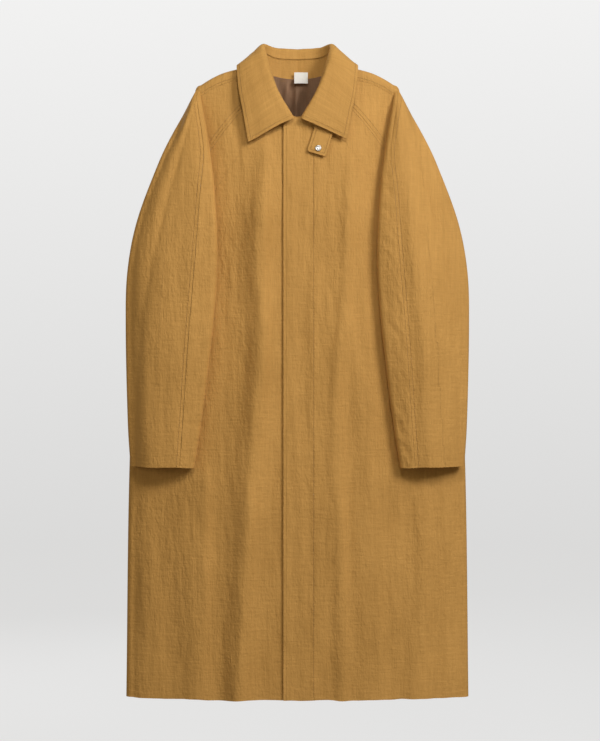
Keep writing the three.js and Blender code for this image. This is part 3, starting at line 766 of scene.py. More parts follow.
fly_skin = body_skin(-1, 1, flap_lift)
flap_spread = panel_spread(
    level(FLAP_EDGE), level(FLAP_STITCH), level(HEM), level(FLAP_FREE_TOP), 14, 0, 150,
)
flap, flat, area = cut_cloth(
    "fly_flap_cloth", fly_skin, flap_spread, 14, 150, CLOTH, False, (shell_cloth,),
    [straight((FLAP_STITCH, FLAP_FREE_TOP), (FLAP_STITCH, HEM), 60)],
)
flap_turn = ("coat_body", "fly", (0.030, -0.066, -0.6), (0.020, -0.066, -0.6))
finish_piece(flap, flap_turn, ["fly_flap"], "shell_cloth", flat, area)

top_spread = panel_spread(
    level(FLAP_EDGE), level(FLAP_STITCH), level(FLAP_FREE_TOP), level(FLY_TOP), 14, 0, 14,
)
fly_top, flat, area = cut_cloth(
    "fly_top_cloth", fly_skin, top_spread, 14, 14, CLOTH, False, (shell_cloth,),
    [straight((FLAP_STITCH, FLY_TOP), (FLAP_STITCH, FLAP_FREE_TOP), 20)],
)
finish_piece(fly_top, "coat_body", ["fly_top"], "shell_cloth", flat, area)


BUTTON_HEIGHTS = [-180 - 180 * i for i in range(5)]
slits = [(-1.7, 1.7, height - 12, height + 12) for height in BUTTON_HEIGHTS]
strip_spread = panel_spread(
    level(FLAP_EDGE + 5), level(FLAP_STITCH - 0.5), level(HEM), level(FLAP_FREE_TOP), 14, 0, 150,
)
strip, flat, area = cut_cloth(
    "buttonhole_strip_cloth", body_skin(-1, 1, FACING_INSET), strip_spread, 14, 150, THIN_CLOTH, False,
    (shell_cloth,), [], slits,
)
finish_piece(strip, "coat_body", ["buttonhole_strip"], "shell_cloth", flat, area)
print("fly done")

# %% [markdown]
# ## Yokes
# In a raglan coat the sleeve runs up to the neck, so the shoulder is made of the top of the sleeve: a front
# and a back piece each side. The back one comes over the crown of the shoulder and meets the front one in
# a topstitched seam a little forward of the crown, which is where a tailor puts it.

# %% Yokes
NECK_SIDE = 72
SEAM_FORWARD = 9


def yoke_inner(corner_x, corner_z):
    rise = shoulder_line(NECK_SIDE) - corner_z
    return lambda z: lerp(corner_x, NECK_SIDE, min(max((z - corner_z) / rise, 0), 1)) + 0.4


for word, side in SIDES:
    front_skin, back_skin = body_skin(-1, side), body_skin(1, side)
    front_raglan = lambda x: along(FRONT_RAGLAN, x) + 0.4
    front_top = lambda x: shoulder_line(x) - SEAM_FORWARD - 0.4
    spread = panel_spread(yoke_inner(57, 0), half_width, front_raglan, front_top, 44, 6, 34)
    lines = [raglan_line(FRONT_RAGLAN, -6)]
    yoke, flat, area = cut_cloth(
        f"{word}_front_yoke", front_skin, spread, 50, 34, CLOTH, side < 0, (shell_cloth,), lines,
    )
    sewing = sew(f"{word}_front_yoke_stitching", front_skin, lines, side < 0, thread)
    finish_piece(yoke, "coat_body", [f"yoke_front_{word}"], "shell_cloth", flat, area, sewing=[sewing])

    crown_arc = math.pi * FOLD + SEAM_FORWARD
    back_raglan = lambda x: along(BACK_RAGLAN, x) + 0.4
    spread = panel_spread(
        yoke_inner(45, 31), half_width, back_raglan, shoulder_line, 44, 6, 34, 12, crown_arc,
    )
    over = [(x, shoulder_line(x) + crown_arc - 5) for x in np.linspace(76, 181, 30)]
    lines = [raglan_line(BACK_RAGLAN, -6), over]
    yoke, flat, area = cut_cloth(
        f"{word}_back_yoke", back_skin, spread, 50, 46, CLOTH, side > 0, (shell_cloth,), lines,
    )
    sewing = sew(f"{word}_back_yoke_stitching", back_skin, lines, side > 0, thread)
    finish_piece(yoke, "coat_body", [f"yoke_back_{word}"], "shell_cloth", flat, area, sewing=[sewing])

# %% [markdown]
# ## Back and vent
# The back is two panels joined at a centre seam. From 420 mm above the hem the seam opens into a lapped
# vent: the left back carries the flap and a narrow underlap lies behind it. The place of the flap is cut
# out of the left back while its pattern is still flat, with plane cuts along the edges of the vent.

# %% Back
VENT_TOP = HEM + 420
VENT_LAP = 48


for word, side in SIDES:
    skin = body_skin(1, side)
    centre_line = straight((5, 24), (5, VENT_TOP + 4), 50)
    lines = [raglan_line(BACK_RAGLAN, 5), centre_line] if side > 0 else [raglan_line(BACK_RAGLAN, 5)]
    spread = panel_spread(level(0.25), half_width, level(HEM), below(back_neckline, 0.4), 74, 6, 168)
    holes = [(-1, VENT_LAP + 0.5, HEM - 5, VENT_TOP)] if side > 0 else []
    back, flat, area = cut_cloth(
        f"{word}_back", skin, spread, 80, 168, CLOTH, side > 0, (shell_cloth,), lines, holes,
    )
    sewing = sew(f"{word}_back_stitching", skin, lines, side > 0, thread)
    finish_piece(back, "coat_body", [f"back_panel_{word}"], "shell_cloth", flat, area, sewing=[sewing])

# %% Vent
vent_skin = body_skin(1, 1)
vent_spread = panel_spread(level(0.5), level(VENT_LAP), level(HEM), level(VENT_TOP - 0.4), 12, 0, 60)
vent, flat, area = cut_cloth(
    "vent_flap_cloth", vent_skin, vent_spread, 12, 60, CLOTH, True, (shell_cloth,),
)
vent_turn = ("coat_body", "vent", (0.048, 0.062, -0.94), (0.036, 0.062, -0.94))
finish_piece(vent, vent_turn, ["vent_flap"], "shell_cloth", flat, area)
under_skin = body_skin(1, 1, FACING_INSET)
under_spread = panel_spread(level(0.5), level(40), level(HEM), level(VENT_TOP - 0.4), 10, 0, 60)
under, flat, area = cut_cloth(
    "vent_underlap_cloth", under_skin, under_spread, 10, 60, THIN_CLOTH, True, (shell_cloth,),
)
finish_piece(under, "coat_body", ["vent_underlap"], "shell_cloth", flat, area)
print("back done")

# %% [markdown]
# ## Facings and lining
# Inside the fronts lie facings of the shell cloth. The rest is lined in brown satin, which stops short of
# the hem. The back lining has a pleat at the neck, so that it never pulls when the arms reach forward: the
# satin stands off the back in a soft fold that fans out below the neck seam.

# %% Facings
for word, side in SIDES:
    inner, outer = (FLAP_STITCH + 0.5, 100) if side > 0 else (-24, 95)
    inset = FACING_INSET if side > 0 else (lambda x: right_inset(x) + 2.6)
    skin = body_skin(-1, side, inset)
    spread = panel_spread(level(inner), level(outer), level(HEM), below(front_neckline, 2), 24, 0, 150)
    facing, flat, area = cut_cloth(
        f"{word}_facing", skin, spread, 24, 150, THIN_CLOTH, side < 0, (shell_cloth,),
    )
    finish_piece(facing, "coat_body", [f"front_facing_{word}"], "shell_cloth", flat, area)

# %% Lining
LINING_INSET = 5.8
SATIN_CLOTH = 0.7


def lining_pleat(x, z):
    """The fold at the neck: it fans out below the neck seam and dies away at the shoulder blades."""
    below_neck = smooth_step(22, -25, z) * (1 - smooth_step(-240, -420, z))
    spread = 4.5 + 0.07 * max(24 - z, 0)
    pleat = 15 * math.exp(-(((x + 2) / spread) ** 2))
    pleat += 7 * math.exp(-(((x - 3.1 * spread) / (0.8 * spread)) ** 2))
    pleat += 8 * math.exp(-(((x + 3.4 * spread) / (0.9 * spread)) ** 2))
    gathers = 2.2 * math.sin(x / 4.2 + z / 40) + 2.0 * noise.noise((x / 7, z / 50, 2))
    near_neck = smooth_step(22, 4, z) * (1 - smooth_step(-60, -140, z))
    return below_neck * (pleat + 2.4 * noise.noise((x / 16, z / 90, 5))) + near_neck * gathers


def lining_skin(face, side, inset):
    base = body_skin(face, side, inset)

    def skin(a, b):
        place = base(a, b)
        if face > 0 and a < half_width(b):
            place.y -= max(lining_pleat(side * a, b), -1.5) * MM
        return place

    return skin


def back_lining_top(x):
    if x < 45:
        return back_neckline(x) - 2
    neck_edge = lerp(31, shoulder_line(NECK_SIDE), min(max((x - 45) / 27, 0), 1))
    return (min(neck_edge, shoulder_line(x)) if x < 76 else shoulder_line(x)) - 2


for word, side in SIDES:
    skin = lining_skin(1, side, LINING_INSET)
    spread = panel_spread(level(-0.4), half_width, level(HEM + 25), back_lining_top, 76, 6, 160)
    lining, flat, area = cut_cloth(
        f"{word}_back_lining", skin, spread, 82, 160, SATIN_CLOTH, side > 0, (satin,),
    )
    finish_piece(lining, "coat_body", [f"lining_back_{word}"], "satin_lining", flat, area)
    edge = 100.5 if side > 0 else 95.5
    inset = LINING_INSET if side > 0 else (lambda x: LINING_INSET + right_inset(x))
    skin = lining_skin(-1, side, inset)
    spread = panel_spread(level(edge), half_width, level(HEM + 25), below(shoulder_line, 4), 44, 6, 150)
    lining, flat, area = cut_cloth(
        f"{word}_front_lining", skin, spread, 50, 150, SATIN_CLOTH, side < 0, (satin,),
    )
    finish_piece(lining, "coat_body", [f"lining_front_{word}"], "satin_lining", flat, area)
print("lining done")

# %% [markdown]
# ## Pockets
# A slanted welt with a bar of close stitching at each end, and a bag of pocketing behind the front. The
# welt is a folded band of the shell cloth, sewn on the front's surface.

# %% Pockets
WELT_LEAN = math.radians(14)
WELT_WIDTH = 26
WELT_LENGTH = 165


def welt_skin(side, stand_off):
    base = body_skin(-1, side, -stand_off)

    def skin(a, b):
        x = 152 + a * math.cos(WELT_LEAN) - b * math.sin(WELT_LEAN)
        z = -433 + a * math.sin(WELT_LEAN) + b * math.cos(WELT_LEAN)
        return base(x, z)

    return skin


for word, side in SIDES:
    skin = welt_skin(side, 1.9)
    lines = [straight((3, -2), (3, -163)), straight((23, -2), (23, -163))]
    bars = [straight((2, b), (9, b), 2) for b in (-1.5, -2.4, -3.3)]
    spread = lambda u, v: (WELT_WIDTH * u, -WELT_LENGTH * (1 - v))
    welt, flat, area = cut_cloth(
        f"{word}_pocket_welt", skin, spread, 8, 40, 1.2, side < 0, (shell_cloth,), lines,
    )
    sewing = sew(f"{word}_pocket_stitching", skin, lines + bars, side < 0, thread)
    finish_piece(welt, "coat_body", [f"pocket_welt_{word}"], "shell_cloth", flat, area, sewing=[sewing])
    skin = body_skin(-1, side, FACING_INSET)
    spread = panel_spread(level(128), level(246), level(-720), level(-450), 20, 0, 40)
    bag, flat, area = cut_cloth(f"{word}_pocket_bag", skin, spread, 20, 40, 1.1, side < 0, (pocketing,))
    finish_piece(bag, "coat_body", [f"pocket_bag_{word}"], "pocketing", flat, area)

# %% [markdown]
# ## Sleeves
# Each sleeve hangs as a flattened tube in front of the body. It has two cut pieces that meet in a
# topstitched seam near the inner fold and again under the arm. The cloth rolls round the folds in a soft
# curve, and the strip between the seam and the inner fold has short slanting creases.

# %% Sleeve shape
CUFF = -713.0
SLEEVE_TOP = 3.0
ROLL_FROM = -47
ROLL_HEIGHT = 52.5
SHOULDER_WRAP = 20
SLEEVE_INNER = [
    (CUFF, 192), (-630, 179), (-515, 164), (-387, 151.5), (-300, 149),
    (-190, 155), (-91, 168), (-17, 182), (5, 186),
]
SLEEVE_OUTER = [
    (CUFF, 315), (-630, 320), (-450, 324), (-347, 321), (-251, 303),
    (-140, 262), (-85, 236), (-17, 200), (5, 189),
]
SLEEVE_SEAM = [
    (CUFF, 220), (-586, 211), (-480, 204), (-324, 191),
    (-200, 182), (-120, 176), (-17, 190), (5, 188.5),
]
SLEEVE_DEPTHS = [(CUFF, 8), (-387, 11), (-250, 10), (-91, 6), (-17, 0.5), (5, 0)]
SLEEVE_FOLDS = [(CUFF, 10), (-91, 9.5), (-17, 5.5), (5, 2)]


def sleeve_frame(z):
    """Fold radius, and the x where the flat part starts and ends."""
    fold = along(SLEEVE_FOLDS, z)
    inner, outer = along(SLEEVE_INNER, z), along(SLEEVE_OUTER, z)
    flat = max((outer - inner) / 2 - fold, 0.6)
    middle = (inner + outer) / 2
    return fold, middle - flat, middle + flat


def sleeve_folds(side, x, z):
    """Soft folds of the sleeve's front, in millimetres."""
    seam = along(SLEEVE_SEAM, z)
    strength = smooth_step(-90, -330, z)
    total = 2.6 * noise.noise((x / 42, z / 300, 31 * side))
    total += 1.0 * noise.noise((x / 17, z / 110, 37 * side))
    total += 0.5 * noise.noise((x / 9, z / 40, 41 * side))
    if side > 0:
        total += 4.0 * strength * math.exp(-(((x - seam - 31) / 16) ** 2))
        total -= 2.2 * strength * math.exp(-(((x - seam - 8) / 9) ** 2))
        total += 3.0 * strength * math.exp(-(((x - 292) / 20) ** 2))
    else:
        total += 1.0 * strength * math.exp(-(((x - 262) / 34) ** 2))
        total -= 1.2 * strength * math.exp(-(((x - seam - 30) / 18) ** 2))
    inside = 1 - smooth_step(seam - 6, seam + 4, x)
    slant = noise.noise(((x + 0.55 * z) / 11, (z - 0.5 * x) / 34, 47 * side))
    total += 1.5 * inside * slant
    near_top = smooth_step(-20, -120, z)
    return total * (0.15 + 0.85 * near_top)


def sleeve_skin(side, inset=0.0):
    """The sleeve's skin: a is x on the front, carried on round either fold, and b is the height."""

    def skin(a, b):
        fold, low, high = sleeve_frame(b)
        radius = fold - inset
        arc = math.pi * fold
        x, turn, end = a, 0.0, 1
        if a > high:
            turn = min((a - high) / fold, math.pi)
            x = high if a - high < arc else high - (a - high - arc)
        elif a < low:
            end = -1
            turn = min((low - a) / fold, math.pi)
            x = low if low - a < arc else low + (low - a - arc)
        middle, flat = (low + high) / 2, (high - low) / 2
        across = min(max((x - middle) / flat, -1), 1)
        front = math.cos(turn / 2) ** 2
        peak = 0.0 if side > 0 else 0.5
        from_peak = (across - peak) / (1 + peak if across < peak else 1 - peak)
        puff = 2 * along(SLEEVE_DEPTHS, b) * (1 - from_peak * from_peak) if turn < 1.5 else 0.0
        lifted = sleeve_folds(side, x, b) * front if turn < math.pi else 0.0
        behind = body_depth(-1, min(x, half_width(b)), b) + FOLD + 3.5 + fold
        roll = math.sqrt(1 - min(max((b - ROLL_FROM) / ROLL_HEIGHT, 0), 1) ** 2)
        wave = 1.4 * noise.noise((a / 34, 5.5 * side, 0)) + 0.02 * (x - 250)
        wave *= 1 - smooth_step(0, 50, b - CUFF)
        place = x + end * radius * math.sin(turn)
        past_body = smooth_step(half_width(b) + 8, half_width(b) + 22, place)
        # Outside the body the top of the sleeve wraps back round the shoulder.
        wrap = SHOULDER_WRAP * smooth_step(-120, -20, b) * past_body
        y = wrap - (behind + puff + lifted) - radius * math.cos(turn)
        return Vector((side * place, y * roll, b + wave)) * MM

    return skin


def sleeve_lengths(b, end):
    """Where a sleeve piece starts and stops on the flat pattern at a height."""
    fold, low, high = sleeve_frame(b)
    seam = min(max(along(SLEEVE_SEAM, b), low + 0.2), high - 0.2)
    under = (low + high) / 2 - 0.15 * (high - low) / 2
    arc = math.pi * fold
    if end > 0:
        return seam + 0.2, high + arc + (high - under) - 0.4
    return seam - 0.2, low - arc - (under - low) + 0.4


def sleeve_spread(end, bottom, top):
    def spread(u, v):
        b = lerp(bottom, top, v)
        start, stop = sleeve_lengths(b, end)
        return lerp(start, stop, u), b

    return spread


cuff_spans = [sleeve_lengths(CUFF, end) for end in (1, -1)]
print("sleeve girth at the cuff, mm", round(sum(abs(b - a) for a, b in cuff_spans)))

# %% Sleeves
def sleeve_turn(word, side):
    """The coat body, the sleeve's name and two points at the shoulder, one above the other."""
    return "coat_body", f"sleeve_{word}", (side * 0.19, -0.03, 0.012), (side * 0.19, -0.03, -0.09)


for word, side in SIDES:
    turn = sleeve_turn(word, side)
    skin = sleeve_skin(side)
    for end, place, columns, nodes in (
        (1, "outer", 60, [f"sleeve_back_{word}"]), (-1, "inner", 40, [f"sleeve_front_{word}"]),
    ):
        heights = np.linspace(CUFF + 2, SLEEVE_TOP - 34, 60)
        beside = 6 if end > 0 else -5
        lines = [[(along(SLEEVE_SEAM, z) + beside, z) for z in heights]] if end > 0 else []
        ridge = [[(along(SLEEVE_SEAM, z) - 0.2, z) for z in heights]]
        flip = side * end < 0
        sleeve, flat, area = cut_cloth(
            f"{word}_sleeve_{place}", skin, sleeve_spread(end, CUFF, SLEEVE_TOP), columns, 130,
            CLOTH, flip, (shell_cloth,), lines or ridge,
        )
        sewing = [sew(f"{word}_sleeve_stitching", skin, lines, side < 0, thread)] if lines else []
        finish_piece(sleeve, turn, nodes, "shell_cloth", flat, area, sewing=sewing)

# %% [markdown]
# ## Inside the sleeves
# The cuff is turned up inside by 54 mm, and the satin lining starts above it. Both go all the way round,
# from one side of the underarm seam to the other.

# %% Cuff turn-ups and sleeve linings
def round_spread(bottom, top):
    def spread(u, v):
        b = lerp(bottom, top, v)
        return lerp(sleeve_lengths(b, -1)[1], sleeve_lengths(b, 1)[1], u), b

    return spread


for word, side in SIDES:
    turn = sleeve_turn(word, side)
    skin = sleeve_skin(side, 2.3)
    for name, node, cloth, slot, bottom, top, rows in (
        (f"{word}_cuff_turn_up", f"cuff_turn_up_{word}", shell_cloth, "shell_cloth", CUFF + 0.6, -660, 10),
        (f"{word}_sleeve_lining", f"sleeve_lining_{word}", satin, "satin_lining", -658, -66, 90),
    ):
        piece, flat, area = cut_cloth(
            name, skin, round_spread(bottom, top), 72, rows, SATIN_CLOTH, side < 0, (cloth,),
        )
        finish_piece(piece, turn, [node], slot, flat, area)
print("sleeves done")

# %% [markdown]
# ## Collar
# The collar stands up inside round the neck, rolls over and falls to a pointed leaf in front. Four loops
# round half of the neck carry it: the neck seam, the roll line, the start of the fall and the outer edge.
# Across the collar the cloth follows a smooth path through them. The stand below its seam is its own piece.
# The fall has an upper and an under ply, sewn together 6 mm from the edge.

# %% Collar shape
RIDGE = shoulder_line(NECK_SIDE) + FOLD
NECK_SEAM = [
    (0, 24.5, -26), (0.62, 17, -24), (1.02, 7, -7), (0.98, -9, -7),
    (0.76, -24, -50), (0.45, -35, -80), (0.12, -38, -102),
]
ROLL_LINE = [
    (0, 34, 33), (0.56, 28, 35), (0.85, 6, 39), (0.81, -16, 16),
    (0.7, -28, -12), (0.5, -36, -54), (0.12, -42, -101),
]
FALL_START = [
    (0, 40, 36), (0.6, 35, 38), (0.94, 8, 41), (0.92, -20, 18),
    (0.78, -36, -11), (0.55, -50, -51), (0.12, -57, -107),
]
COLLAR_EDGE = [
    (0, 47, -24), (0.86, 42, -19), (1.48, 24, -5), (1.58, -12, -2),
    (1.51, -40, -56), (1.40, -50, -96), (1.27, -54, -145),
]


def through(points, share):
    """A point on a centripetal curve through a few points."""
    spots = [Vector(point) for point in points]
    spots = [spots[0] * 2 - spots[1], *spots, spots[-1] * 2 - spots[-2]]
    place = min(max(share, 0.0), 1.0) * (len(points) - 1)
    span = min(int(place), len(points) - 2)
    p0, p1, p2, p3 = spots[span:span + 4]
    t0 = 0.0
    t1 = t0 + max((p1 - p0).length, 1e-4) ** 0.5
    t2 = t1 + max((p2 - p1).length, 1e-4) ** 0.5
    t3 = t2 + max((p3 - p2).length, 1e-4) ** 0.5
    t = lerp(t1, t2, place - span)
    a1 = p0 * ((t1 - t) / (t1 - t0)) + p1 * ((t - t0) / (t1 - t0))
    a2 = p1 * ((t2 - t) / (t2 - t1)) + p2 * ((t - t1) / (t2 - t1))
    a3 = p2 * ((t3 - t) / (t3 - t2)) + p3 * ((t - t2) / (t3 - t2))
    b1 = a1 * ((t2 - t) / (t2 - t0)) + a2 * ((t - t0) / (t2 - t0))
    b2 = a2 * ((t3 - t) / (t3 - t1)) + a3 * ((t - t1) / (t3 - t1))
    return b1 * ((t2 - t) / (t2 - t1)) + b2 * ((t - t1) / (t2 - t1))


def loop_point(loop, share):
    return through([(s * NECK_SIDE, y, RIDGE + rise) for s, y, rise in loop], share)


LOOP_LENGTH = 300.0
RIGHT_LEAF_DROP = 6
STAND_SHARE = 0.72
path_cache = {}


def collar_path(share):
    """The path of the cloth across the collar at one share of the way round: stand seam to edge."""
    key = round(share, 5)
    if key not in path_cache:
        neck, roll = loop_point(NECK_SEAM, share), loop_point(ROLL_LINE, share)
        fall, edge = loop_point(FALL_START, share), loop_point(COLLAR_EDGE, share)
        knots = [neck.lerp(roll, STAND_SHARE), neck.lerp(roll, 0.88), roll]
        knots.append(roll.lerp(fall, 0.5) + Vector((0, 0, 1.2)))
        knots.append(fall)
        outward = Vector((fall.x, fall.y * 1.6, 0)).normalized()
        for up in (0.25, 0.5, 0.75):
            knots.append(fall.lerp(edge, up) + outward * (4.2 * math.sin(math.pi * up)))
        knots.append(edge + outward * 0.4)
        dense = [through(knots, t) for t in np.linspace(0, 1, 65)]
        lengths = np.concatenate([[0], np.cumsum([(b - a).length for a, b in zip(dense, dense[1:])])])
        path_cache[key] = (np.array([list(p) for p in dense]), lengths)
    return path_cache[key]


def collar_middle(share, distance):
    """The middle of the cloth, a distance in from the outer edge (a negative number)."""
    dense, lengths = collar_path(share)
    reach = min(max(lengths[-1] + distance, 0), lengths[-1])
    return Vector([float(np.interp(reach, lengths, dense[:, i])) for i in range(3)])


def collar_normal(share, distance):
    around = collar_middle(min(share + 0.006, 1), distance) - collar_middle(max(share - 0.006, 0), distance)
    across = collar_middle(share, min(distance + 1.2, 0)) - collar_middle(share, distance - 1.2)
    return around.cross(across).normalized()


def collar_skin(side, ply):
    """Ply is how far the surface stands off the middle of the collar, outwards, in millimetres."""

    def skin(a, b):
        share = a / LOOP_LENGTH
        place = collar_middle(share, b)
        drop = RIGHT_LEAF_DROP if side < 0 else 0
        place.z -= drop * smooth_step(0.75, 1, share) * smooth_step(-75, 0, b)
        ripple = 0.9 * noise.noise((a / 40 + 7 * side, b / 30, 3)) * smooth_step(-75, -20, b)
        ripple += 0.35 * noise.noise((a / 12 + 3 * side, b / 16, 8))
        curl = 1.6 * smooth_step(-16, 0, b) * smooth_step(0.78, 1.0, share)
        place += collar_normal(share, b) * (ply + ripple + curl)
        return Vector((side * place.x, place.y, place.z)) * MM

    return skin


def collar_width(share):
    return float(collar_path(share)[1][-1])


print("collar width at the back and the tip, mm", round(collar_width(0)), round(collar_width(1)))
print("collar faces out", [round(c, 2) for c in collar_normal(0.8, -30)])

# %% Collar
COLLAR_CLOTH = 1.1


def edge_length(distance):
    """How much longer the loop is at a distance from the edge than the pattern's own length."""
    return (collar_middle(1, distance) - collar_middle(0.94, distance)).length / 0.06 / LOOP_LENGTH


for word, side in SIDES:
    leaf_turn = (
        "coat_body", f"collar_leaf_{word}",
        (side * 0.0125, -0.058, -0.039), (side * 0.0345, -0.0564, -0.051),
    )
    edge_line = [(a, -6) for a in np.linspace(1, LOOP_LENGTH - 5, 80)]
    front_line = [(LOOP_LENGTH - 6 / edge_length(b), b) for b in np.linspace(-6, -66, 24)]
    lines = [edge_line, front_line]
    upper_skin, under_skin = collar_skin(side, 1.3), collar_skin(side, -0.2)
    upper_spread = lambda u, v: (LOOP_LENGTH * u, -collar_width(u) * (1 - v))
    under_spread = lambda u, v: (LOOP_LENGTH * u, -0.62 * collar_width(u) * (1 - v) - 0.5)
    upper, flat, area = cut_cloth(
        f"{word}_upper_collar", upper_skin, upper_spread, 84, 44, COLLAR_CLOTH, side < 0,
        (collar_cloth,), lines,
    )
    sewing = sew(f"{word}_collar_stitching", upper_skin, lines, side < 0, thread)
    nodes = [f"collar_roll_{word}", f"upper_collar_back_{word}", f"upper_collar_leaf_{word}"]
    finish_piece(upper, leaf_turn, nodes, "shell_cloth", flat, area, sewing=[sewing])
    under, flat, area = cut_cloth(
        f"{word}_under_collar", under_skin, under_spread, 84, 26, COLLAR_CLOTH, side < 0,
        (collar_cloth,), [edge_line],
    )
    nodes = [f"under_collar_back_{word}", f"under_collar_leaf_{word}"]
    finish_piece(under, leaf_turn, nodes, "shell_cloth", flat, area)


STAND_LENGTH = sum(
    (loop_point(NECK_SEAM, i / 60) - loop_point(NECK_SEAM, (i + 1) / 60)).length for i in range(60)
)


def stand_height(share):
    return (loop_point(ROLL_LINE, share) - loop_point(NECK_SEAM, share)).length


def stand_skin(side):
    def skin(a, b):
        share = a / STAND_LENGTH
        up = b / stand_height(share)
        place = loop_point(NECK_SEAM, share).lerp(loop_point(ROLL_LINE, share), up)
        inward = Vector((-place.x, -place.y * 1.6, 0)).normalized()
        place += inward * (0.5 * noise.noise((a / 13, b / 20, 4 * side)))
        return Vector((side * place.x, place.y, place.z)) * MM

    return skin


for word, side in SIDES:
    skin = stand_skin(side)
    spread = lambda u, v: (STAND_LENGTH * 0.95 * u, stand_height(0.95 * u) * (STAND_SHARE - 0.01) * v)
    top_line = [(STAND_LENGTH * t, stand_height(t) * STAND_SHARE - 2.4) for t in np.linspace(0, 0.9, 60)]
    stand, flat, area = cut_cloth(
        f"{word}_collar_stand", skin, spread, 70, 12, 1.2, side < 0, (collar_cloth,), [top_line],
    )
    finish_piece(stand, "coat_body", [f"collar_stand_{word}"], "shell_cloth", flat, area)

# %% [markdown]
# ## Throat tab and snap
# The tab is two plies of cloth, topstitched round its edge, that hangs from under the left leaf and can be
# swung across the throat to a stud on the other side. Its cap is a pressed ring with a sunk middle, spun
# from a profile like the real one is pressed.

# %% Throat tab
TAB_LEAN = math.radians(17)
TAB_TILT = math.radians(-8)
TAB_CLOSED = math.radians(61)
tab_y = -body_depth(-1, 69, -26) - FOLD - 11


def tab_frame(swing=0.0):
    pivot = Matrix.Translation((69 * MM, tab_y * MM, -26 * MM)) @ Matrix.Rotation(TAB_TILT, 4, "X")
    below_pivot = Matrix.Translation((-5.4 * MM, 0, -10.5 * MM))
    return pivot @ Matrix.Rotation(swing, 4, "Y") @ below_pivot @ Matrix.Rotation(TAB_LEAN, 4, "Y")


TAB_PLACE = tab_frame()


def tab_skin(offset):
    def skin(a, b):
        curve = 0.7 * (a / 18) ** 2 - 0.5 * math.sin(math.pi * (6 - b) / 101)
        ripple = 0.3 * noise.noise((a / 9, b / 13, 6))
        return TAB_PLACE @ (Vector((a, offset + curve * 0.6 + ripple, b)) * MM)

    return skin


def tab_spread(u, v):
    """A rectangle with its two free corners just rounded off."""
    a, b = lerp(-18, 18, u), lerp(-95, 6, v)
    return a, max(b, -95 + 1.5 * max(abs(a) - 16, 0))


tab_lines = [[(-13.5, 2), (-13.5, -90.5), (13.5, -90.5), (13.5, 2)]]
for name, offset, node in (
    ("tab_outer_ply", -1.3, "throat_tab_outer"),
    ("tab_inner_ply", 0.2, "throat_tab_inner"),
):
    skin = tab_skin(offset)
    ply, flat, area = cut_cloth(
        name, skin, tab_spread, 16, 44, COLLAR_CLOTH, False, (collar_cloth,), tab_lines,
    )
    sewing = [sew("tab_stitching", skin, tab_lines, False, thread)] if offset < 0 else []
    finish_piece(ply, "throat_tab", [node], "shell_cloth", flat, area, sewing=sewing)

# %% Snap
def spun(name, points, place, material, steps=40):
    """A round piece, spun from its profile about its own axis, with the profile's ends closed on it."""
    bm = bmesh.new()
    profile_verts(bm, [(r * MM, y * MM, 0) for r, y in points])
    bmesh.ops.spin(
        bm, geom=bm.verts[:] + bm.edges[:], cent=(0, 0, 0), axis=(0, 1, 0),
        angle=math.tau, steps=steps, use_merge=True,
    )
    bmesh.ops.remove_doubles(bm, verts=bm.verts, dist=1e-6)
    bmesh.ops.recalc_face_normals(bm, faces=bm.faces)
    bmesh.ops.transform(bm, matrix=place, verts=bm.verts)
    return add_piece(name, bm, material)


SNAP_DROP = Matrix.Translation((0, 0, -84 * MM))
at_snap = TAB_PLACE @ SNAP_DROP
cap = spun("snap_ring_cap", [
    (0, -2.5), (1.2, -2.5), (2.2, -2.35), (2.9, -2.2), (3.3, -2.5), (3.7, -3.05), (4.4, -3.35),
    (5.1, -3.3), (5.7, -2.9), (6.0, -2.3), (5.95, -1.8), (5.6, -1.75), (1.6, -1.75), (1.6, 1.3),
    (0, 1.3),
], at_snap, nickel, 56)
socket = spun("snap_socket_ring", [
    (2.6, 1.75), (3.6, 1.75), (4.0, 2.0), (4.0, 2.8), (3.6, 3.05), (3.0, 3.05), (2.6, 2.8), (2.6, 1.75),
], at_snap, nickel)
at_stud = tab_frame(TAB_CLOSED) @ SNAP_DROP
stud = spun("snap_stud_pin", [
    (0, 2.15), (1.2, 2.2), (1.75, 2.5), (1.8, 2.9), (1.55, 3.4), (3.4, 3.45), (3.9, 3.8),
    (4.0, 4.4), (4.0, 6.6), (3.8, 6.85), (0, 6.85),
], at_stud, nickel)
for piece, body, node in (
    (cap, "throat_tab", "snap_cap"),
    (socket, "throat_tab", "snap_socket"),
    (stud, "coat_body", "snap_stud"),
):
    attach(piece, body)
    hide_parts(node)
print("snap at", [round(c, 3) for c in at_snap.translation])

# %% [markdown]
# ## Buttons
# Five four-hole buttons sit on the right front, hidden by the flap. Each is a disc with a raised rim and a
# sunk middle. The holes are cut through it, and a thread shank holds it off the cloth.

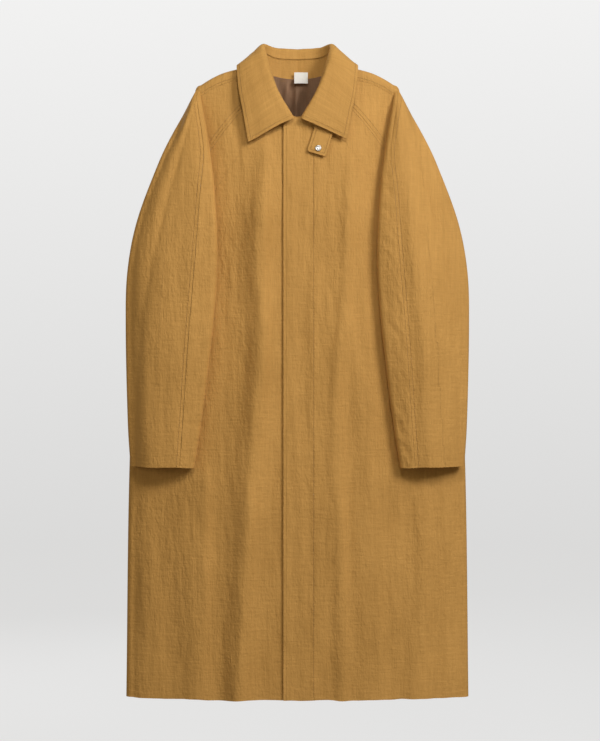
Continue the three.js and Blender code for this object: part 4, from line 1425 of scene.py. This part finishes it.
# %% Buttons
def button(name, height):
    lean = math.atan((body_depth(-1, 0, height + 10) - body_depth(-1, 0, height - 10)) / 20)
    front = body_depth(-1, 0, height) + FOLD - 2.2 + folds(-1, 0, height)
    place = Matrix.Translation((0, -front * MM, height * MM)) @ Matrix.Rotation(lean, 4, "X")
    disc = spun(f"{name}_disc", [
        (0, 0.75), (5.2, 0.75), (6.4, 0.45), (7.6, 0.1), (9.0, 0.05), (9.8, 0.4), (10, 1.1),
        (9.7, 1.8), (8.8, 2.2), (0, 2.2),
    ], Matrix.Identity(4), horn, 40)
    cutters = bmesh.new()
    for x, z in ((-1.7, -1.7), (1.7, -1.7), (-1.7, 1.7), (1.7, 1.7)):
        spot = Matrix.Translation((x * MM, 1.2 * MM, z * MM)) @ Matrix.Rotation(math.pi / 2, 4, "X")
        bmesh.ops.create_cone(
            cutters, cap_ends=True, segments=12, radius1=0.85 * MM, radius2=0.85 * MM,
            depth=6 * MM, matrix=spot,
        )
    cutter = add_piece("hole_cutter", cutters)
    cut = disc.modifiers.new("holes", "BOOLEAN")
    cut.operation = "DIFFERENCE"
    cut.object = cutter
    cut.solver = "EXACT"
    shaped = bpy.data.meshes.new_from_object(disc.evaluated_get(bpy.context.evaluated_depsgraph_get()))
    disc.modifiers.clear()
    disc.data = shaped
    bpy.data.objects.remove(cutter)
    shaped.transform(place)
    shank = spun(f"{name}_shank", [
        (0, 0.5), (1.5, 0.6), (1.3, 2.2), (1.1, 4.2), (1.2, 5.0), (0, 5.0),
    ], place, thread, 16)
    for piece in (disc, shank):
        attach(piece, "coat_body")
    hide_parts(name)
    return disc


for count, height in enumerate(BUTTON_HEIGHTS):
    button(f"button_{count + 1}", height)
print("buttons done")

# %% [markdown]
# ## Label
# A blank woven label with folded ends, sewn on at its top edge so that it can flip up. Two bars of cream
# thread hold its upper corners.

# %% Label
label_low, label_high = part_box("neck_label")
label_y = (label_low.y + label_high.y) / 2 / MM


def label_skin(a, b):
    curve = 0.5 * math.cos(a / 13 * math.pi / 2)
    return Vector((7 + a, label_y - curve + 0.25 * noise.noise((a / 5, b / 6, 1)), 37 + b)) * MM


label_lines = [straight((-11.5, -1.5), (11.5, -1.5), 2)]
label, flat, area = cut_cloth(
    "blank_neck_label", label_skin, lambda u, v: (lerp(-13, 13, u), lerp(-21, 0, v)), 20, 16,
    THIN_CLOTH, False, (tape,), label_lines,
)
label_sewing = sew("label_stitching", label_skin, label_lines, False, cream_thread, 2.4, 1.8, 0.05)
finish_piece(label, "label", ["neck_label"], "label_tape", flat, area, sewing=[label_sewing])
